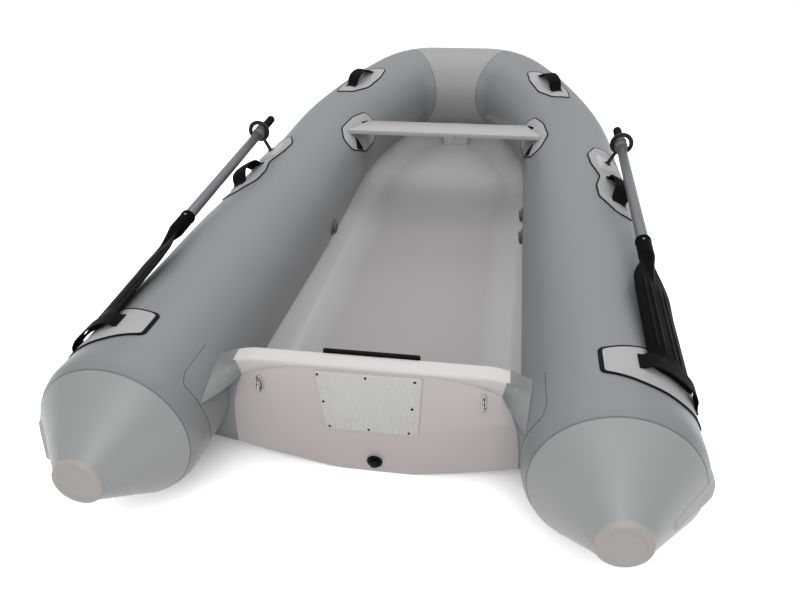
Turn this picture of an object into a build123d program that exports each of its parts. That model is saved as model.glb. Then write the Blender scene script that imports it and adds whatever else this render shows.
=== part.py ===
from build123d import *
import os
from math import atan2, cos, degrees, radians, sin, tan

# Rigid inflatable tender: a moulded deep-floor hull with a raked transom, carried between two
# inflated side tubes that meet in a blunt bow, with a bench, hand grips and a pair of stowed oars.
#
# X runs to starboard, Y forward, Z up, in millimetres.  Everything is laid out from the stern
# datum (Y 0 at the aft faces of the tube ends, Z 0 at the flat keel pad) and moved back by half
# the overall length when it is written, so the finished part has its origin under its middle.

os.makedirs("parts", exist_ok=True)

# ---------------------------------------------------------------- driving dimensions
# inflated collar
TUBE_R = 218.0
TUBE_SPREAD = 619.0          # centreline of the boat to the axis of a straight side tube
TUBE_HEIGHT = 284.0          # keel pad to the axis of the straight side tubes
BEND_SHARE = 0.48            # share of the shorter run beside it that each bend takes up
BOW_RISE = 247.0             # how far the axis climbs from stern to bow
BOW_AXIS_Y = 3184.0          # axis of the bow panel, from the stern datum
BOW_HALF = 276.0             # half the length of the bow panel along its axis
SEAM_HALF = 283.0            # where a bow seam crosses the tube axis, from the centreline
SEAM_SLANT = 38.0            # degrees that a bow seam leans outwards going forward
CHAFE = 3.0                  # thickness of a glued patch
GLUE = 0.3                   # line of adhesive under whatever is stuck to the tubes
CONE_LENGTH = 240.0          # tapered end, with the shoulder where it meets the tube
SHOULDER_Y = 196.0           # where the straight taper would reach the tube's full radius
SHOULDER_R = 112.0
END_DISC_R = 56.0
END_DISC_T = 12.0
END_RIM = 6.0                # fabric round the disc

# axis of a side tube between cone and bow: share of the inward sweep, share of the run from
# SWEEP_START to the bow, share of the bow rise
SWEEP_START = 1550.0
AXIS_ROWS = [
    # inward, along, rise
    (0.000, 0.000, 0.000),
    (0.000, 0.245, 0.061),
    (0.018, 0.490, 0.219),
    (0.086, 0.618, 0.356),
    (0.262, 0.741, 0.526),
    (0.554, 0.869, 0.753),
]

STRAKE_W = 90.0              # rubbing strake round the outside
STRAKE_T = 4.0
STRAKE_RIB_W = 28.0
STRAKE_RIB = 14.0            # height of its rib above the tube

# transom
TRANSOM_AFT_Y = 388.0        # aft face, at the height TRANSOM_AFT_Z
TRANSOM_AFT_Z = 390.0
TRANSOM_RAKE = 7.8           # degrees, top leaning aft
TRANSOM_T = 45.0
TRANSOM_TOP = 402.0
TRANSOM_SHOULDER = 350.0     # half width of the level top edge
TRANSOM_FALL = 27.0          # how far the edge falls from there to the tube
TRANSOM_LAP = 2.0            # how far short of the tube's inner side it does so
CAP_T = 5.0                  # moulded capping over the top edge
CAP_LIP = 4.0                # how far the capping stands out from both faces
CAP_DROP = 50.0              # how far the capping comes down the faces at its shoulders
CAP_END_DROP = 60.0          # and where it meets the tube
CAP_END = 30.0               # how far its ends run on, trimmed to the tube's skin
CAP_FLAT = 170.0             # half width of the stretch where it doesn't come down
PAD_TOP_W = 288.0            # outboard motor pad on the aft face
PAD_FOOT_W = 258.0
PAD_TOP = 388.0
PAD_FOOT = 174.0
PAD_T = 8.0
CLAMP_W = 262.0              # clamp plate on the forward face
CLAMP_H = 190.0
CLAMP_T = 8.0
CLAMP_PROUD = 8.0            # its upper edge above the capping
EYE_X = 303.0                # U-bolts on the aft face
EYE_Z = 318.0
EYE_SPAN = 38.0              # between the centres of the legs
EYE_ROD_R = 4.0
EYE_REACH = 20.0
EYE_PLATE_T = 3.0
EYE_PLATE_W = 16.0
EYE_PLATE_EDGE = 12.0        # plate beyond the centre of each leg
DRAIN_Z = 46.0
DRAIN_FLANGE_R = 23.0
DRAIN_FLANGE_T = 6.0
DRAIN_HEX_R = 15.0
DRAIN_HEX_T = 10.0
FLAP_T = 2.0                 # fabric joining tube and transom

# hull and deck moulding
FLOOR_Z = 100.0
FLOOR_BEND_Y = 2300.0        # forward of this the floor climbs
FLOOR_CLIMB = 9.5            # degrees
WALL_SLOPE = 28.0            # degrees off vertical of the cockpit sides
WALL_HEIGHT = 330.0
SKIN = 18.0                  # thickness of the bottom moulding
DECK_T = 6.0                 # least thickness of the deck moulding over it
HULL_TUCK = 5.0              # how far the chine goes into the tube's outline
SHELF_AFT_Y = 2880.0         # bow shelf, climbing forward from this line
SHELF_Z = 222.0
SHELF_CLIMB = 20.0
SHELF_STEP_R = 110.0         # rounded step in the middle of the shelf's aft edge
SHELF_STEP_Y = 2950.0
BOW_EYE_Y = 3040.0

# bench
SEAT_AFT_Y = 2183.0
SEAT_W = 185.0
SEAT_T = 22.0
SEAT_TOP = 500.0
SEAT_AFT_HALF = 469.0        # half length of its aft edge
SEAT_FORWARD_HALF = 400.0

# oars: where the axis of the starboard one passes, beside the tube
OAR_GRIP_END = (2053.0, 61.0, 126.0)    # forward of the stern datum, angle round the tube, lift
OAR_AT_KEEPER = (381.0, 53.0, 13.5)
SHAFT_LENGTH = 1045.0        # from the end of the grip to the blade
SHAFT_R = 19.0
SHAFT_PLUG = 30.0            # length of the shaft's spigot inside the grip
GRIP_R = 17.5
GRIP_LENGTH = 130.0
GRIP_WALL = 4.5
BLADE_LENGTH = 655.0         # socket and blade together
BLADE_W = 138.0
BLADE_T = 6.0
BLADE_START = 120.0          # where the flat begins, from the mouth of the socket
BLADE_FULL = 270.0           # where it reaches its full width
BLADE_SHOULDER_R = 160.0
BLADE_TIP_R = 26.0
RIB_HEIGHT = 2.0             # stiffening ribs on both faces
RIB_W = 7.0
RIB_AT = (18.0, 40.0)        # distance of the ribs from the middle
RIB_END_GAP = 70.0           # from the tip
SOCKET_R = 24.0
SOCKET_LENGTH = 110.0
SPINE_LENGTH = 200.0         # taper from the socket into the flat
SPINE_END_R = 4.0
OAR_COLLAR_R = 26.0
OAR_COLLAR_LENGTH = 80.0
OAR_COLLAR_FROM_END = 145.0
RING_FROM_END = 180.0        # centre of the rowlock ring, back from the end of the grip
RING_BORE_R = 38.0
RING_CLEARANCE = 0.5         # between the ring and the collar that lies in it
RING_WIRE_R = 6.5
STEM_R = 9.0
ROWLOCK_PAD_T = 10.0
ROWLOCK_PAD_L = 150.0
ROWLOCK_PAD_W = 84.0
ROWLOCK_PAD_CORNER = 12.0

# hand grips and keepers of webbing
WEB_T = 4.0
HANDLE_W = 58.0
HANDLE_SPAN = 150.0
HANDLE_RISE = 42.0
HANDLE_FOOT = 34.0
KEEPER_W = 62.0
KEEPER_REACH = 122.0         # from the middle of the blade to where the strap ends
KEEPER_SEWN = 0.85           # share of that reach at which it leaves the patch
KEEPER_GAP = 5.0             # round the blade

# air valves
VALVE_R = 36.0
VALVE_FLANGE_T = 4.0
VALVE_CAP_R = 27.0
VALVE_CAP_T = 14.0
VALVE_ANGLE = 188.0

OVERALL = BOW_AXIS_Y + TUBE_R + STRAKE_RIB


# ---------------------------------------------------------------- frames along the collar
def axis_points():
    """Axis of the starboard tube from the cone seam to the bow corner."""
    pts = [Vector(TUBE_SPREAD, CONE_LENGTH, TUBE_HEIGHT)]
    sweep = TUBE_SPREAD - BOW_HALF
    run = BOW_AXIS_Y - SWEEP_START
    for inward, along, rise in AXIS_ROWS:
        x = TUBE_SPREAD - inward * sweep
        y = SWEEP_START + along * run
        z = TUBE_HEIGHT + rise * BOW_RISE
        pts.append(Vector(x, y, z))
    pts.append(Vector(BOW_HALF, BOW_AXIS_Y, TUBE_HEIGHT + BOW_RISE))
    return pts


def mirrored(points):
    return [Vector(-p.X, p.Y, p.Z) for p in reversed(points)]


AXIS = axis_points()
COLLAR_AXIS = AXIS + mirrored(AXIS)


def collar(lift):
    """The whole collar with its skin raised by the lift: straight runs joined by tangent bends."""
    radius = TUBE_R + lift
    parts = []
    start = COLLAR_AXIS[0]
    for a, corner, b in zip(COLLAR_AXIS, COLLAR_AXIS[1:], COLLAR_AXIS[2:]):
        heading = (corner - a).normalized()
        turned = (b - corner).normalized()
        swing = heading.get_angle(turned)
        if swing < 0.01:
            continue
        reach = BEND_SHARE * min((corner - a).length, (b - corner).length)
        bend_r = reach / tan(radians(swing) / 2)
        enter = corner - heading * reach
        parts.append(Solid.make_cylinder(radius, (enter - start).length, Plane(origin=start, z_dir=heading)))
        side = (turned - heading * heading.dot(turned)).normalized()
        hinge = Axis(enter + side * bend_r, heading.cross(side))
        parts.append(revolve(Plane(origin=enter, z_dir=heading) * Circle(radius), hinge, swing))
        start = corner + turned * reach
    last = COLLAR_AXIS[-1] - start
    parts.append(Solid.make_cylinder(radius, last.length, Plane(origin=start, z_dir=last)))
    return parts[0].fuse(*parts[1:])


def station(distance):
    """Point and heading on the starboard axis, a distance forward of the tube's end."""
    left = distance - CONE_LENGTH
    for a, b in zip(AXIS, AXIS[1:]):
        span = (b - a).length
        if left <= span or b is AXIS[-1]:
            heading = (b - a).normalized()
            return a + heading * left, heading
        left -= span


def tube_plane(distance, angle, lift=0.0):
    """Plane on the tube's skin: X forward along the tube, Z outwards from it.

    The angle goes round the tube from outboard (0) over the top (90) to inboard (180)."""
    centre, heading = station(distance)
    out = heading.cross(Vector(0, 0, 1)).normalized()
    up = out.cross(heading)
    normal = out * cos(radians(angle)) + up * sin(radians(angle))
    return Plane(origin=centre + normal * (TUBE_R + lift), x_dir=heading, z_dir=normal)


def both(shape):
    """Port and starboard versions of a starboard piece."""
    return {"port": mirror(shape, about=Plane.YZ), "starboard": shape}


pieces = {}


def add(name, shape):
    pieces[name] = shape


def add_pair(name, shape):
    for side, piece in both(shape).items():
        add(f"{name}_{side}", piece)


def add_set(name, *shapes):
    """Like pieces, port and starboard, as one sub-part of separate solids."""
    solids = []
    for shape in shapes:
        for piece in both(shape).values():
            solids += piece.solids()
    add(name, Compound(children=solids))


# ---------------------------------------------------------------- collar: three air chambers
whole = collar(0)
slant = radians(SEAM_SLANT)
seam = Plane(origin=(SEAM_HALF, BOW_AXIS_Y, 0), z_dir=(cos(slant), -sin(slant), 0))
port_seam = Plane(origin=(-SEAM_HALF, BOW_AXIS_Y, 0), z_dir=(-cos(slant), -sin(slant), 0))
starboard_half = whole.split(Plane.YZ, keep=Keep.TOP)
add_pair("tube", starboard_half.split(seam, keep=Keep.TOP))
add("tube_bow", whole.split(seam, keep=Keep.BOTTOM).split(port_seam, keep=Keep.BOTTOM))

PATCH_TOP = GLUE + CHAFE
inner = collar(GLUE)
outer = collar(PATCH_TOP)
on_patch = collar(PATCH_TOP + GLUE)
chafe_skin = outer - inner

# tapered tube ends, straight-sided with a rounded shoulder, closed by a moulded rubber disc
cone_outline = Polyline(
    (0, END_DISC_T), (END_DISC_R + END_RIM, END_DISC_T), (TUBE_R, SHOULDER_Y), (TUBE_R, CONE_LENGTH),
    (0, CONE_LENGTH), close=True,
)
cone_face = make_face(cone_outline.edges())
shoulder = [v for v in cone_face.vertices() if abs(v.Y - SHOULDER_Y) < 1]
cone_face = fillet(shoulder, SHOULDER_R)
cone = revolve(Plane.XZ * cone_face, Axis.Z, 360)
to_stern = Plane(origin=(TUBE_SPREAD, 0, TUBE_HEIGHT), x_dir=(1, 0, 0), z_dir=(0, 1, 0))
add_pair("cone", to_stern * cone)
disc = Cylinder(END_DISC_R, END_DISC_T, align=(Align.CENTER, Align.CENTER, Align.MIN))
disc = fillet(disc.edges().sort_by(Axis.Z)[0], END_DISC_T / 3)
add_set("cone_caps", to_stern * disc)

# rubbing strake: a flat rubber band with a raised rib, round the outside of the collar
def level_slab(i, width):
    """Slab of the given width, level with straight run i on its outboard side, mitred at both ends."""
    a = COLLAR_AXIS[i]
    b = COLLAR_AXIS[i + 1]
    heading = (b - a).normalized()
    up = heading.cross(Vector(0, 0, 1)).cross(heading)
    outboard = Align.CENTER, Align.MAX, Align.CENTER
    length = 2 * ((b - a).length + 2 * TUBE_R)       # beyond both mitres
    reach = 1.2 * TUBE_R                             # beyond the raised skin
    slab = Plane(origin=a, x_dir=heading, z_dir=up) * Box(length, reach, width, align=outboard)
    before = (a - COLLAR_AXIS[i - 1]).normalized() if i > 0 else heading
    after = (COLLAR_AXIS[i + 2] - b).normalized() if i + 2 < len(COLLAR_AXIS) else heading
    slab = slab.split(Plane(origin=a, z_dir=before + heading), keep=Keep.TOP)
    return slab.split(Plane(origin=b, z_dir=heading + after), keep=Keep.BOTTOM)


def round_the_outside(lift, width):
    """Band of the given width, from the skin of the collar out to the lift."""
    slabs = [level_slab(i, width) for i in range(len(COLLAR_AXIS) - 1)]
    return (collar(lift) - whole) & slabs[0].fuse(*slabs[1:])


add("rub_strake", round_the_outside(STRAKE_T, STRAKE_W).fuse(round_the_outside(STRAKE_RIB, STRAKE_RIB_W)))

# ---------------------------------------------------------------- hull and deck moulding
HULL_ROWS = [
    # y, keel z, pad half, bilge x, bilge z, chine angle on the tube, degrees below level
    (200.0, 0.0, 110.0, 330.0, 50.0, 59.0),
    (2000.0, 0.0, 110.0, 330.0, 52.0, 59.5),
    (2250.0, 4.0, 100.0, 322.0, 58.0, 59.5),
    (2450.0, 14.0, 88.0, 308.0, 72.0, 60.0),
    (2630.0, 36.0, 72.0, 285.0, 96.0, 60.0),
    (2800.0, 72.0, 54.0, 246.0, 130.0, 60.0),
    (2950.0, 118.0, 38.0, 198.0, 170.0, 60.0),
    (3070.0, 172.0, 26.0, 144.0, 218.0, 60.0),
    (3160.0, 228.0, 14.0, 84.0, 268.0, 60.0),
]


def axis_at(y):
    """Point where the starboard tube's axis passes a distance forward of the stern datum."""
    for a, b in zip(AXIS, AXIS[1:]):
        if y <= b.Y:
            return a + (b - a) * ((y - a.Y) / (b.Y - a.Y))


def hull_section(row, lift=0.0):
    y, keel, pad, bilge_x, bilge_z, chine_angle = row
    axis = axis_at(y)
    chine = TUBE_R - HULL_TUCK
    chine_x = axis.X - chine * cos(radians(chine_angle))
    chine_z = axis.Z - chine * sin(radians(chine_angle))
    half = [(pad, keel), (bilge_x, bilge_z), (chine_x, chine_z)]
    half = [(x, z + lift) for x, z in half] + [(chine_x, axis.Z)]
    other = [(-x, z) for x, z in reversed(half)]
    return Wire.make_polygon([Vector(x, y, z) for x, z in half + other], close=True)


rake = radians(TRANSOM_RAKE)
aft_normal = Vector(0, -cos(rake), -sin(rake))
transom_foot = TRANSOM_AFT_Y + TRANSOM_AFT_Z * tan(rake)
aft_face = Plane(origin=(0, transom_foot, 0), x_dir=(1, 0, 0), z_dir=aft_normal)
forward_face = Plane(origin=aft_face.origin - aft_normal * TRANSOM_T, x_dir=(1, 0, 0), z_dir=aft_normal)


def moulding(lift=0.0):
    """Hull body between the tubes, forward of the transom, its bottom raised by the lift."""
    body = Solid.make_loft([hull_section(row, lift) for row in HULL_ROWS], ruled=True)
    return body.split(forward_face, keep=Keep.BOTTOM) - inner


# cockpit: a flat floor that climbs towards the bow, round in front, its sides leaning outwards
COCKPIT_HALF = [
    # half width, y, corner radius
    (372.0, 0.0, 0.0),
    (404.0, 2440.0, 500.0),
    (377.0, 2740.0, 220.0),
    (258.0, 2930.0, 180.0),
    (100.0, 2980.0, 0.0),
]
outline = [(x, y) for x, y, _ in COCKPIT_HALF]
plan = make_face(Polyline(*outline, *[(-x, y) for x, y in reversed(outline)], close=True).edges())
for x, y, corner in COCKPIT_HALF:
    if corner:
        corners = [v for v in plan.vertices() if abs(abs(v.X) - x) < 1 and abs(v.Y - y) < 1]
        plan = fillet(corners, corner)
cockpit = extrude(Pos(0, 0, FLOOR_Z) * plan, WALL_HEIGHT, taper=-WALL_SLOPE)
high = 4 * TUBE_R            # clear of the top of the moulding


def room_above(side_view):
    """Everything above a line drawn in side view, forward and up, across the whole boat."""
    aft_end = side_view[0][0]
    forward_end = side_view[-1][0]
    outline = Polyline(*side_view, (forward_end, high), (aft_end, high), close=True)
    return extrude(Plane.YZ * make_face(outline.edges()), TUBE_SPREAD, both=True)


floor_climb = (BOW_AXIS_Y - FLOOR_BEND_Y) * tan(radians(FLOOR_CLIMB))
shelf_climb = (BOW_AXIS_Y - SHELF_AFT_Y) * tan(radians(SHELF_CLIMB))
above_floor = room_above([(0, FLOOR_Z), (FLOOR_BEND_Y, FLOOR_Z), (BOW_AXIS_Y, FLOOR_Z + floor_climb)])
above_shelf = room_above([(SHELF_AFT_Y, SHELF_Z), (BOW_AXIS_Y, SHELF_Z + shelf_climb)])
shelf_step = Pos(0, SHELF_STEP_Y, 0) * extrude(Circle(SHELF_STEP_R), high)
well = moulding(SKIN + DECK_T)
cockpit_cut = (cockpit & above_floor & well) - shelf_step
shelf_cut = above_shelf & well
deck_body = moulding(SKIN)
add("hull_bottom", moulding() - deck_body)
add("deck_liner", deck_body - cockpit_cut - shelf_cut)

# ---------------------------------------------------------------- transom
slope = 1 / cos(rake)        # heights, measured up the raked face


def on_face(points):
    return [(x, z * slope) for x, z in points]


def across(half):
    """Starboard half of an outline and its mirror image, as one closed face."""
    other = [(-x, z) for x, z in reversed(half)]
    return make_face(Polyline(*on_face(half + other), close=True).edges())


tube_side = TUBE_SPREAD - TUBE_R
top_end_x = tube_side - TRANSOM_LAP
top_end_z = TRANSOM_TOP - TRANSOM_FALL
stern_keel, stern_pad, stern_bilge_x, stern_bilge_z, stern_angle = HULL_ROWS[0][1:]
stern_chine_x = TUBE_SPREAD - (TUBE_R - HULL_TUCK) * cos(radians(stern_angle))
stern_chine_z = TUBE_HEIGHT - (TUBE_R - HULL_TUCK) * sin(radians(stern_angle))
transom_half = [
    (stern_pad, stern_keel),
    (stern_bilge_x, stern_bilge_z),
    (stern_chine_x, stern_chine_z),
    (stern_chine_x, TUBE_HEIGHT),
    (top_end_x, top_end_z),
    (TRANSOM_SHOULDER, TRANSOM_TOP),
]
panel = extrude(aft_face * across(transom_half), -TRANSOM_T) - inner
add("transom", panel)
cap_half = [
    (CAP_FLAT, TRANSOM_TOP - CAP_T),
    (TRANSOM_SHOULDER, TRANSOM_TOP - CAP_DROP),
    (tube_side + CAP_END, TRANSOM_TOP - CAP_END_DROP),
    (tube_side + CAP_END, top_end_z),
    (top_end_x, top_end_z + CAP_T),
    (TRANSOM_SHOULDER, TRANSOM_TOP + CAP_T),
]
proud = Plane(origin=aft_face.origin + aft_normal * CAP_LIP, x_dir=(1, 0, 0), z_dir=aft_normal)
capping = extrude(proud * across(cap_half), -(TRANSOM_T + 2 * CAP_LIP)) - panel - inner
add("transom_cap", capping)

pad_half = [(PAD_FOOT_W / 2, PAD_FOOT), (PAD_TOP_W / 2, PAD_TOP)]
motor_pad = extrude(aft_face * across(pad_half), PAD_T)
add("motor_pad", motor_pad)
plate_top = TRANSOM_TOP + CAP_T + CLAMP_PROUD
plate_half = [(CLAMP_W / 2, plate_top - CLAMP_H), (CLAMP_W / 2, plate_top)]
clamp_plate = extrude(forward_face * across(plate_half), -CLAMP_T) - capping
add("clamp_plate", clamp_plate)


def eye_bolt():
    """U-bolt on its backing plate, standing out along Z, legs spaced along Y."""
    leg = EYE_REACH - EYE_SPAN / 2
    legs = [Pos(0, s * EYE_SPAN / 2, 0) * extrude(Circle(EYE_ROD_R), leg) for s in (-1, 1)]
    arc = ThreePointArc((0, -EYE_SPAN / 2, leg), (0, 0, EYE_REACH), (0, EYE_SPAN / 2, leg))
    bow = sweep(Plane(origin=arc @ 0, z_dir=arc % 0) * Circle(EYE_ROD_R), path=arc)
    plate = extrude(SlotOverall(EYE_SPAN + 2 * EYE_PLATE_EDGE, EYE_PLATE_W, rotation=90), EYE_PLATE_T)
    return legs[0].fuse(legs[1], bow, plate)


def spot_on_transom(x, z):
    spot = aft_face.from_local_coords(Vector(x, z * slope, 0))
    return Plane(origin=spot, x_dir=(1, 0, 0), z_dir=aft_normal)


add_set("transom_eyes", spot_on_transom(EYE_X, EYE_Z) * eye_bolt())
flange = extrude(Circle(DRAIN_FLANGE_R), DRAIN_FLANGE_T)
hexagon = Pos(0, 0, DRAIN_FLANGE_T) * extrude(RegularPolygon(DRAIN_HEX_R, 6), DRAIN_HEX_T)
add("drain_plug", spot_on_transom(0, DRAIN_Z) * (flange + hexagon))

# ---------------------------------------------------------------- patches glued to the tubes
def tube_prism(distance, angle, points, radius=0.0):
    """Outline drawn on the tube's skin and pushed through it, corners rounded."""
    face = make_face(Polyline(*points, close=True).edges())
    if radius:
        face = fillet(face.vertices(), radius)
    sunk = 0.6 * TUBE_R      # so deep that the skin leaves the prism nowhere
    return extrude(tube_plane(distance, angle, -sunk) * face, TUBE_R)


# where the middle of each patch sits: distance along the tube, angle round it
AFT_PATCH = (378.0, 58.0)
MID_PATCH = (1715.0, 52.0)
SEAT_PATCH = (2305.0, 146.0)
BOW_PATCH = (2800.0, 91.0)

# their outlines laid flat: forward from the middle, and round the tube towards its inner side
AFT_OUTLINE = [
    (-52, 146), (50, 146), (104, 40), (104, -40),
    (50, -138), (-52, -138), (-100, -40), (-98, 40),
]
MID_OUTLINE = [
    (365, 0), (335, 48), (200, 68), (110, 60), (30, 44), (-60, 62), (-150, 78), (-290, 56),
    (-358, 0), (-290, -56), (-150, -78), (-60, -62), (30, -44), (110, -60), (200, -68), (335, -48),
]
SEAT_OUTLINE = [
    (60, -92), (-150, -88), (-192, -36), (-175, 36),
    (-40, 86), (120, 88), (198, 36), (195, -43),
]
BOW_OUTLINE = [
    (155, 64), (80, 84), (-80, 86), (-155, 52),
    (-170, -26), (-90, -72), (60, -74), (140, -30),
]
PATCHES = [
    # name, place, outline, corner radius
    ("aft_patches", AFT_PATCH, AFT_OUTLINE, 10.0),
    ("mid_patches", MID_PATCH, MID_OUTLINE, 20.0),
    ("seat_patches", SEAT_PATCH, SEAT_OUTLINE, 25.0),
    ("bow_patches", BOW_PATCH, BOW_OUTLINE, 12.0),
]
for name, place, outline, corner in PATCHES:
    add_set(name, chafe_skin & tube_prism(*place, outline, corner))


def webbing(path, width):
    """Strap of webbing whose centre line is drawn in the XZ plane, its width along Y."""
    return extrude(Plane.XZ * trace(path, WEB_T), width / 2, both=True)


def handle():
    """Arched hand grip along the tube, both feet sewn down to the patch."""
    half = HANDLE_SPAN / 2
    sink = WEB_T
    arch = ThreePointArc((-half, 0), (0, HANDLE_RISE), (half, 0))
    feet = [Line((s * (half + HANDLE_FOOT), -sink), (s * half, 0)) for s in (-1, 1)]
    return webbing(arch + feet[0] + feet[1], HANDLE_W)


def seat_on(shape, distance, angle):
    """Piece placed on the patch and trimmed to the patch's outer face."""
    placed = tube_plane(distance, angle, PATCH_TOP + GLUE) * shape
    return placed - on_patch


HANDLES = [
    # name, distance along the tube, angle round it
    ("mid_handles", 1600.0, 56.0),
    ("bow_handles", 2800.0, 96.0),
]
for name, distance, angle in HANDLES:
    add_set(name, seat_on(handle(), distance, angle))


def fall_away(reach):
    """How far the round tube falls away beside the place where a flat piece touches it."""
    return reach**2 / (2 * TUBE_R)


# keeper: sewn down on both sides of the blade and flat over it
keeper_angle = OAR_AT_KEEPER[1]
blade_top = OAR_AT_KEEPER[2] + BLADE_T / 2 + RIB_HEIGHT - PATCH_TOP - GLUE
keeper_top = blade_top + KEEPER_GAP + WEB_T / 2
sewn = KEEPER_SEWN * KEEPER_REACH
keeper_half = [
    (-KEEPER_REACH, -fall_away(KEEPER_REACH)),
    (-sewn, -fall_away(sewn)),
    (-BLADE_W / 2 - KEEPER_GAP, keeper_top),
]
keeper_path = Polyline(*keeper_half, *[(-v, n) for v, n in reversed(keeper_half)])
keeper = extrude(Plane.YZ * trace(keeper_path, WEB_T), KEEPER_W / 2, both=True)
add_set("keeper_straps", seat_on(keeper, OAR_AT_KEEPER[0], keeper_angle))

# ---------------------------------------------------------------- bench and its webbing seats
seat_bottom = SEAT_TOP - SEAT_T
seat_half = [(SEAT_FORWARD_HALF, SEAT_AFT_Y + SEAT_W), (SEAT_AFT_HALF, SEAT_AFT_Y)]
seat_outline = seat_half + [(-x, y) for x, y in reversed(seat_half)]
seat_face = make_face(Polyline(*seat_outline, close=True).edges())
board = extrude(Pos(0, 0, seat_bottom) * seat_face, SEAT_T)
add("bench_seat", board - on_patch)
tab_skin = collar(PATCH_TOP + WEB_T) - on_patch
TAB_OUTLINES = [
    # triangles laid flat on the seat patch: forward, and round towards the inner side
    [(-150, 26), (-78, -10), (-78, 62)],
    [(178, 0), (96, -28), (96, 30)],
]
tabs = [tab_skin & tube_prism(*SEAT_PATCH, outline) for outline in TAB_OUTLINES]
add_set("seat_tabs", *[tab - board for tab in tabs])

# ---------------------------------------------------------------- oars and rowlocks
def beside_tube(y, angle, lift):
    """Point outside the starboard tube: forward of the stern datum, angle round it, lift off its skin."""
    axis = axis_at(y)
    reach = TUBE_R + lift
    return axis + Vector(reach * cos(radians(angle)), 0, reach * sin(radians(angle)))


grip_end = beside_tube(*OAR_GRIP_END)
shaft_dir = (beside_tube(*OAR_AT_KEEPER) - grip_end).normalized()
keeper_normal = tube_plane(*OAR_AT_KEEPER[:2]).z_dir
blade_across = shaft_dir.cross(keeper_normal).normalized()
oar_place = Plane(origin=grip_end, x_dir=blade_across, z_dir=shaft_dir)
plug_r = GRIP_R - GRIP_WALL
plug = Pos(0, 0, GRIP_LENGTH - SHAFT_PLUG) * extrude(Circle(plug_r), SHAFT_PLUG)
grip = extrude(Circle(GRIP_R), GRIP_LENGTH)
grip = fillet(grip.edges().sort_by(Axis.Z)[0], GRIP_R / 2) - plug
shaft = Pos(0, 0, GRIP_LENGTH) * extrude(Circle(SHAFT_R), SHAFT_LENGTH - GRIP_LENGTH) + plug
sleeve = extrude(Circle(OAR_COLLAR_R) - Circle(SHAFT_R), OAR_COLLAR_LENGTH)
wide = BLADE_W / 2
half_outline = [(SOCKET_R, BLADE_START), (wide, BLADE_FULL), (wide, BLADE_LENGTH)]
blade_outline = half_outline + [(-x, z) for x, z in reversed(half_outline)]
flat = make_face(Polyline(*blade_outline, close=True).edges())
flat = fillet([v for v in flat.vertices() if abs(v.Y - BLADE_FULL) < 1], BLADE_SHOULDER_R)
flat = fillet([v for v in flat.vertices() if abs(v.Y - BLADE_LENGTH) < 1], BLADE_TIP_R)
blade = extrude(Plane.XZ * flat, BLADE_T / 2, both=True)
socket = extrude(Circle(SOCKET_R), SOCKET_LENGTH)
upright = (Align.CENTER, Align.CENTER, Align.MIN)
spine = Pos(0, 0, SOCKET_LENGTH) * Cone(SOCKET_R, SPINE_END_R, SPINE_LENGTH, align=upright)
rib_length = BLADE_LENGTH - RIB_END_GAP - BLADE_FULL
rib = Pos(0, 0, BLADE_FULL) * Box(RIB_W, BLADE_T + 2 * RIB_HEIGHT, rib_length, align=upright)
ribs = [Pos(s * x, 0, 0) * rib for x in RIB_AT for s in (-1, 1)]
blade = blade.fuse(socket, spine, *ribs)
add_pair("oar_grip", oar_place * grip)
add_pair("oar_shaft", oar_place * shaft)
add_pair("oar_collar", oar_place * Pos(0, 0, OAR_COLLAR_FROM_END) * sleeve)
add_pair("oar_blade", oar_place * Pos(0, 0, SHAFT_LENGTH) * blade)

# rowlock: a ring on a stem, on a moulded base glued to the patch; the oar lies in the ring
def abreast(point):
    """Distance along the tube at which its axis passes nearest to a point."""
    found = []
    run = CONE_LENGTH
    for a, b in zip(AXIS, AXIS[1:]):
        span = (b - a).length
        along = min(max((point - a).dot((b - a).normalized()), 0.0), span)
        found.append(((station(run + along)[0] - point).length, run + along))
        run += span
    return min(found)[1]


at_ring = grip_end + shaft_dir * RING_FROM_END
nearest = abreast(at_ring)
below = station(nearest)[0]
stem_dir = (at_ring - below).normalized()
stem_angle = degrees(atan2(stem_dir.Z, stem_dir.X))
ring_centre = at_ring + stem_dir * (RING_BORE_R - OAR_COLLAR_R - RING_CLEARANCE)
ring_r = RING_BORE_R + RING_WIRE_R
ring = Plane(origin=ring_centre, x_dir=blade_across, z_dir=shaft_dir) * Torus(ring_r, RING_WIRE_R)
stem_foot = TUBE_R + PATCH_TOP
stem_length = (ring_centre - below).length - ring_r - stem_foot
stem = Plane(origin=below + stem_dir * stem_foot, z_dir=stem_dir) * extrude(Circle(STEM_R), stem_length)
pad_skin = collar(PATCH_TOP + ROWLOCK_PAD_T)
half_l = ROWLOCK_PAD_L / 2
half_w = ROWLOCK_PAD_W / 2
base_outline = [(-half_l, -half_w), (half_l, -half_w), (half_l, half_w), (-half_l, half_w)]
base_prism = tube_prism(nearest, stem_angle, base_outline, ROWLOCK_PAD_CORNER)
add_set("rowlock_bases", (pad_skin & base_prism) - on_patch)
add_set("rowlocks", ring.fuse(stem - pad_skin))

# ---------------------------------------------------------------- air valves
VALVES = [
    # side (1 starboard), distance along the tube
    (-1, 1620.0),
    (1, 1620.0),
    (1, 1841.0),
]


def valve(distance):
    place = tube_plane(distance, VALVE_ANGLE)
    body = place * extrude(Circle(VALVE_CAP_R), VALVE_CAP_T)
    rim = place * extrude(Circle(VALVE_R), 2 * VALVE_FLANGE_T, both=True)
    flange = rim & flange_skin
    return flange.fuse(body - inner)


flange_skin = collar(VALVE_FLANGE_T) - inner
valves = []
for hand, distance in VALVES:
    one = valve(distance)
    valves += (one if hand > 0 else mirror(one, about=Plane.YZ)).solids()
add("valves", Compound(children=valves))

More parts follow.
